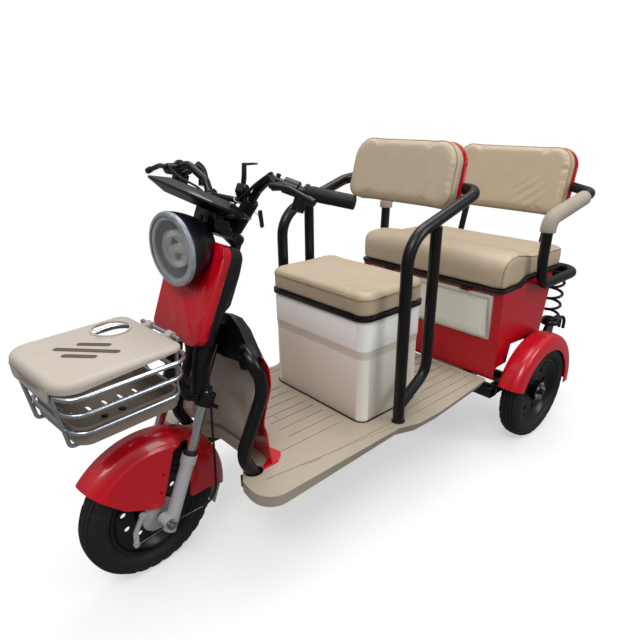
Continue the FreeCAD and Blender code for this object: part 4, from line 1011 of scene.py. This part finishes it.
def studio_lamp(name, at, aim, width, height, power):
    """A soft rectangular lamp turned to a point."""
    data = bpy.data.lights.new(name, "AREA")
    data.shape, data.size, data.size_y, data.energy = "RECTANGLE", width, height, power
    obj = linked(name, data)
    obj.location = at
    obj.rotation_euler = (Vector(aim) - Vector(at)).to_track_quat("-Z", "Y").to_euler()


def build_studio():
    """The photograph's camera, a white floor that fades into the ground, and plain soft light."""
    scene = bpy.context.scene
    data = bpy.data.cameras.new("camera")
    camera = linked("camera", data)
    scene.camera = camera
    data.sensor_width, data.lens = 36.0, 30.17
    data.shift_x, data.shift_y = -0.012, 0.042
    turn = (Matrix.Rotation(math.radians(47.06), 4, "Z") @ Matrix.Rotation(math.radians(90 - 23.57), 4, "X")
            @ Matrix.Rotation(math.radians(-0.10), 4, "Z"))
    camera.matrix_world = Matrix.Translation((1.2584, -0.4648 - ORIGIN_Y / 1000, 1.2369)) @ turn

    bm = bmesh.new()
    bmesh.ops.create_circle(bm, cap_ends=True, segments=64, radius=14.0)
    floor = linked("studio_floor", mesh_of(bm))
    paper, tree, bsdf, place = shader("matt white studio paper")
    bsdf.inputs["Base Color"].default_value = linear("F4F4F3")
    bsdf.inputs["Roughness"].default_value = 0.9
    reach = add(tree, "ShaderNodeVectorMath", {0: place}, operation="LENGTH")
    fade = add(tree, "ShaderNodeMapRange", {"Value": reach.outputs["Value"], "From Min": 0.8,
                                            "From Max": 3.6, "To Min": 0.5},
               interpolation_type="SMOOTHSTEP")
    glow = add(tree, "ShaderNodeEmission", {"Color": (1, 1, 1, 1), "Strength": 1.0})
    both = add(tree, "ShaderNodeMixShader", {0: fade.outputs["Result"], 1: bsdf.outputs["BSDF"],
                                             2: glow.outputs["Emission"]})
    # What the paper throws back on the tricycle is dimmed, as on the dark ground of the photograph
    seen = add(tree, "ShaderNodeLightPath").outputs["Is Camera Ray"]
    dim = add(tree, "ShaderNodeEmission", {"Color": (1, 1, 1, 1), "Strength": 0.22})
    shown = add(tree, "ShaderNodeMixShader", {0: seen, 1: dim.outputs["Emission"], 2: both.outputs["Shader"]})
    tree.links.new(shown.outputs["Shader"], tree.nodes["Material Output"].inputs["Surface"])
    floor.data.materials.append(paper)

    world = bpy.data.worlds.new("studio")
    scene.world = world
    world.use_nodes = True
    tree = world.node_tree
    rays = add(tree, "ShaderNodeLightPath")
    seen = add(tree, "ShaderNodeMath", {0: rays.outputs["Is Camera Ray"],
                                        1: rays.outputs["Is Transmission Ray"]}, operation="MAXIMUM")
    way = add(tree, "ShaderNodeSeparateXYZ", {0: add(tree, "ShaderNodeTexCoord").outputs["Generated"]})
    sky = add(tree, "ShaderNodeMapRange", {"Value": way.outputs["Z"], "From Min": 0.1, "From Max": 1.0,
                                           "To Min": 0.20, "To Max": 0.8}, interpolation_type="SMOOTHSTEP")
    soft = add(tree, "ShaderNodeMapRange", {"Value": way.outputs["Z"], "From Min": -0.2, "From Max": 1.0,
                                            "To Min": 0.26, "To Max": 0.9}, interpolation_type="SMOOTHSTEP")
    shiny = add(tree, "ShaderNodeMix", {0: rays.outputs["Is Glossy Ray"], 2: soft.outputs["Result"],
                                        3: sky.outputs["Result"]})
    level = add(tree, "ShaderNodeMix", {0: seen.outputs["Value"], 2: shiny.outputs[0], 3: 1.0})
    back = tree.nodes["Background"]
    back.inputs["Color"].default_value = (1, 1, 1, 1)
    tree.links.new(level.outputs[0], back.inputs["Strength"])

    studio_lamp("key", (1.6, -2.4, 3.8), (0, 0, 0.5), 2.0, 1.4, 66)
    studio_lamp("side", (3.6, 1.8, 2.4), (0, 0.3, 0.5), 1.4, 2.4, 52)
    studio_lamp("top", (-0.4, 0.6, 4.0), (0, 0, 0.6), 2.4, 2.4, 66)
    scene.view_settings.view_transform = "Standard"


for build in (build_wheels, build_fenders, build_lamp, build_softened, build_basket, build_liner, build_floor,
              build_controls, build_fork_details, build_springs, build_hubs, build_cushions, build_studio):
    build()
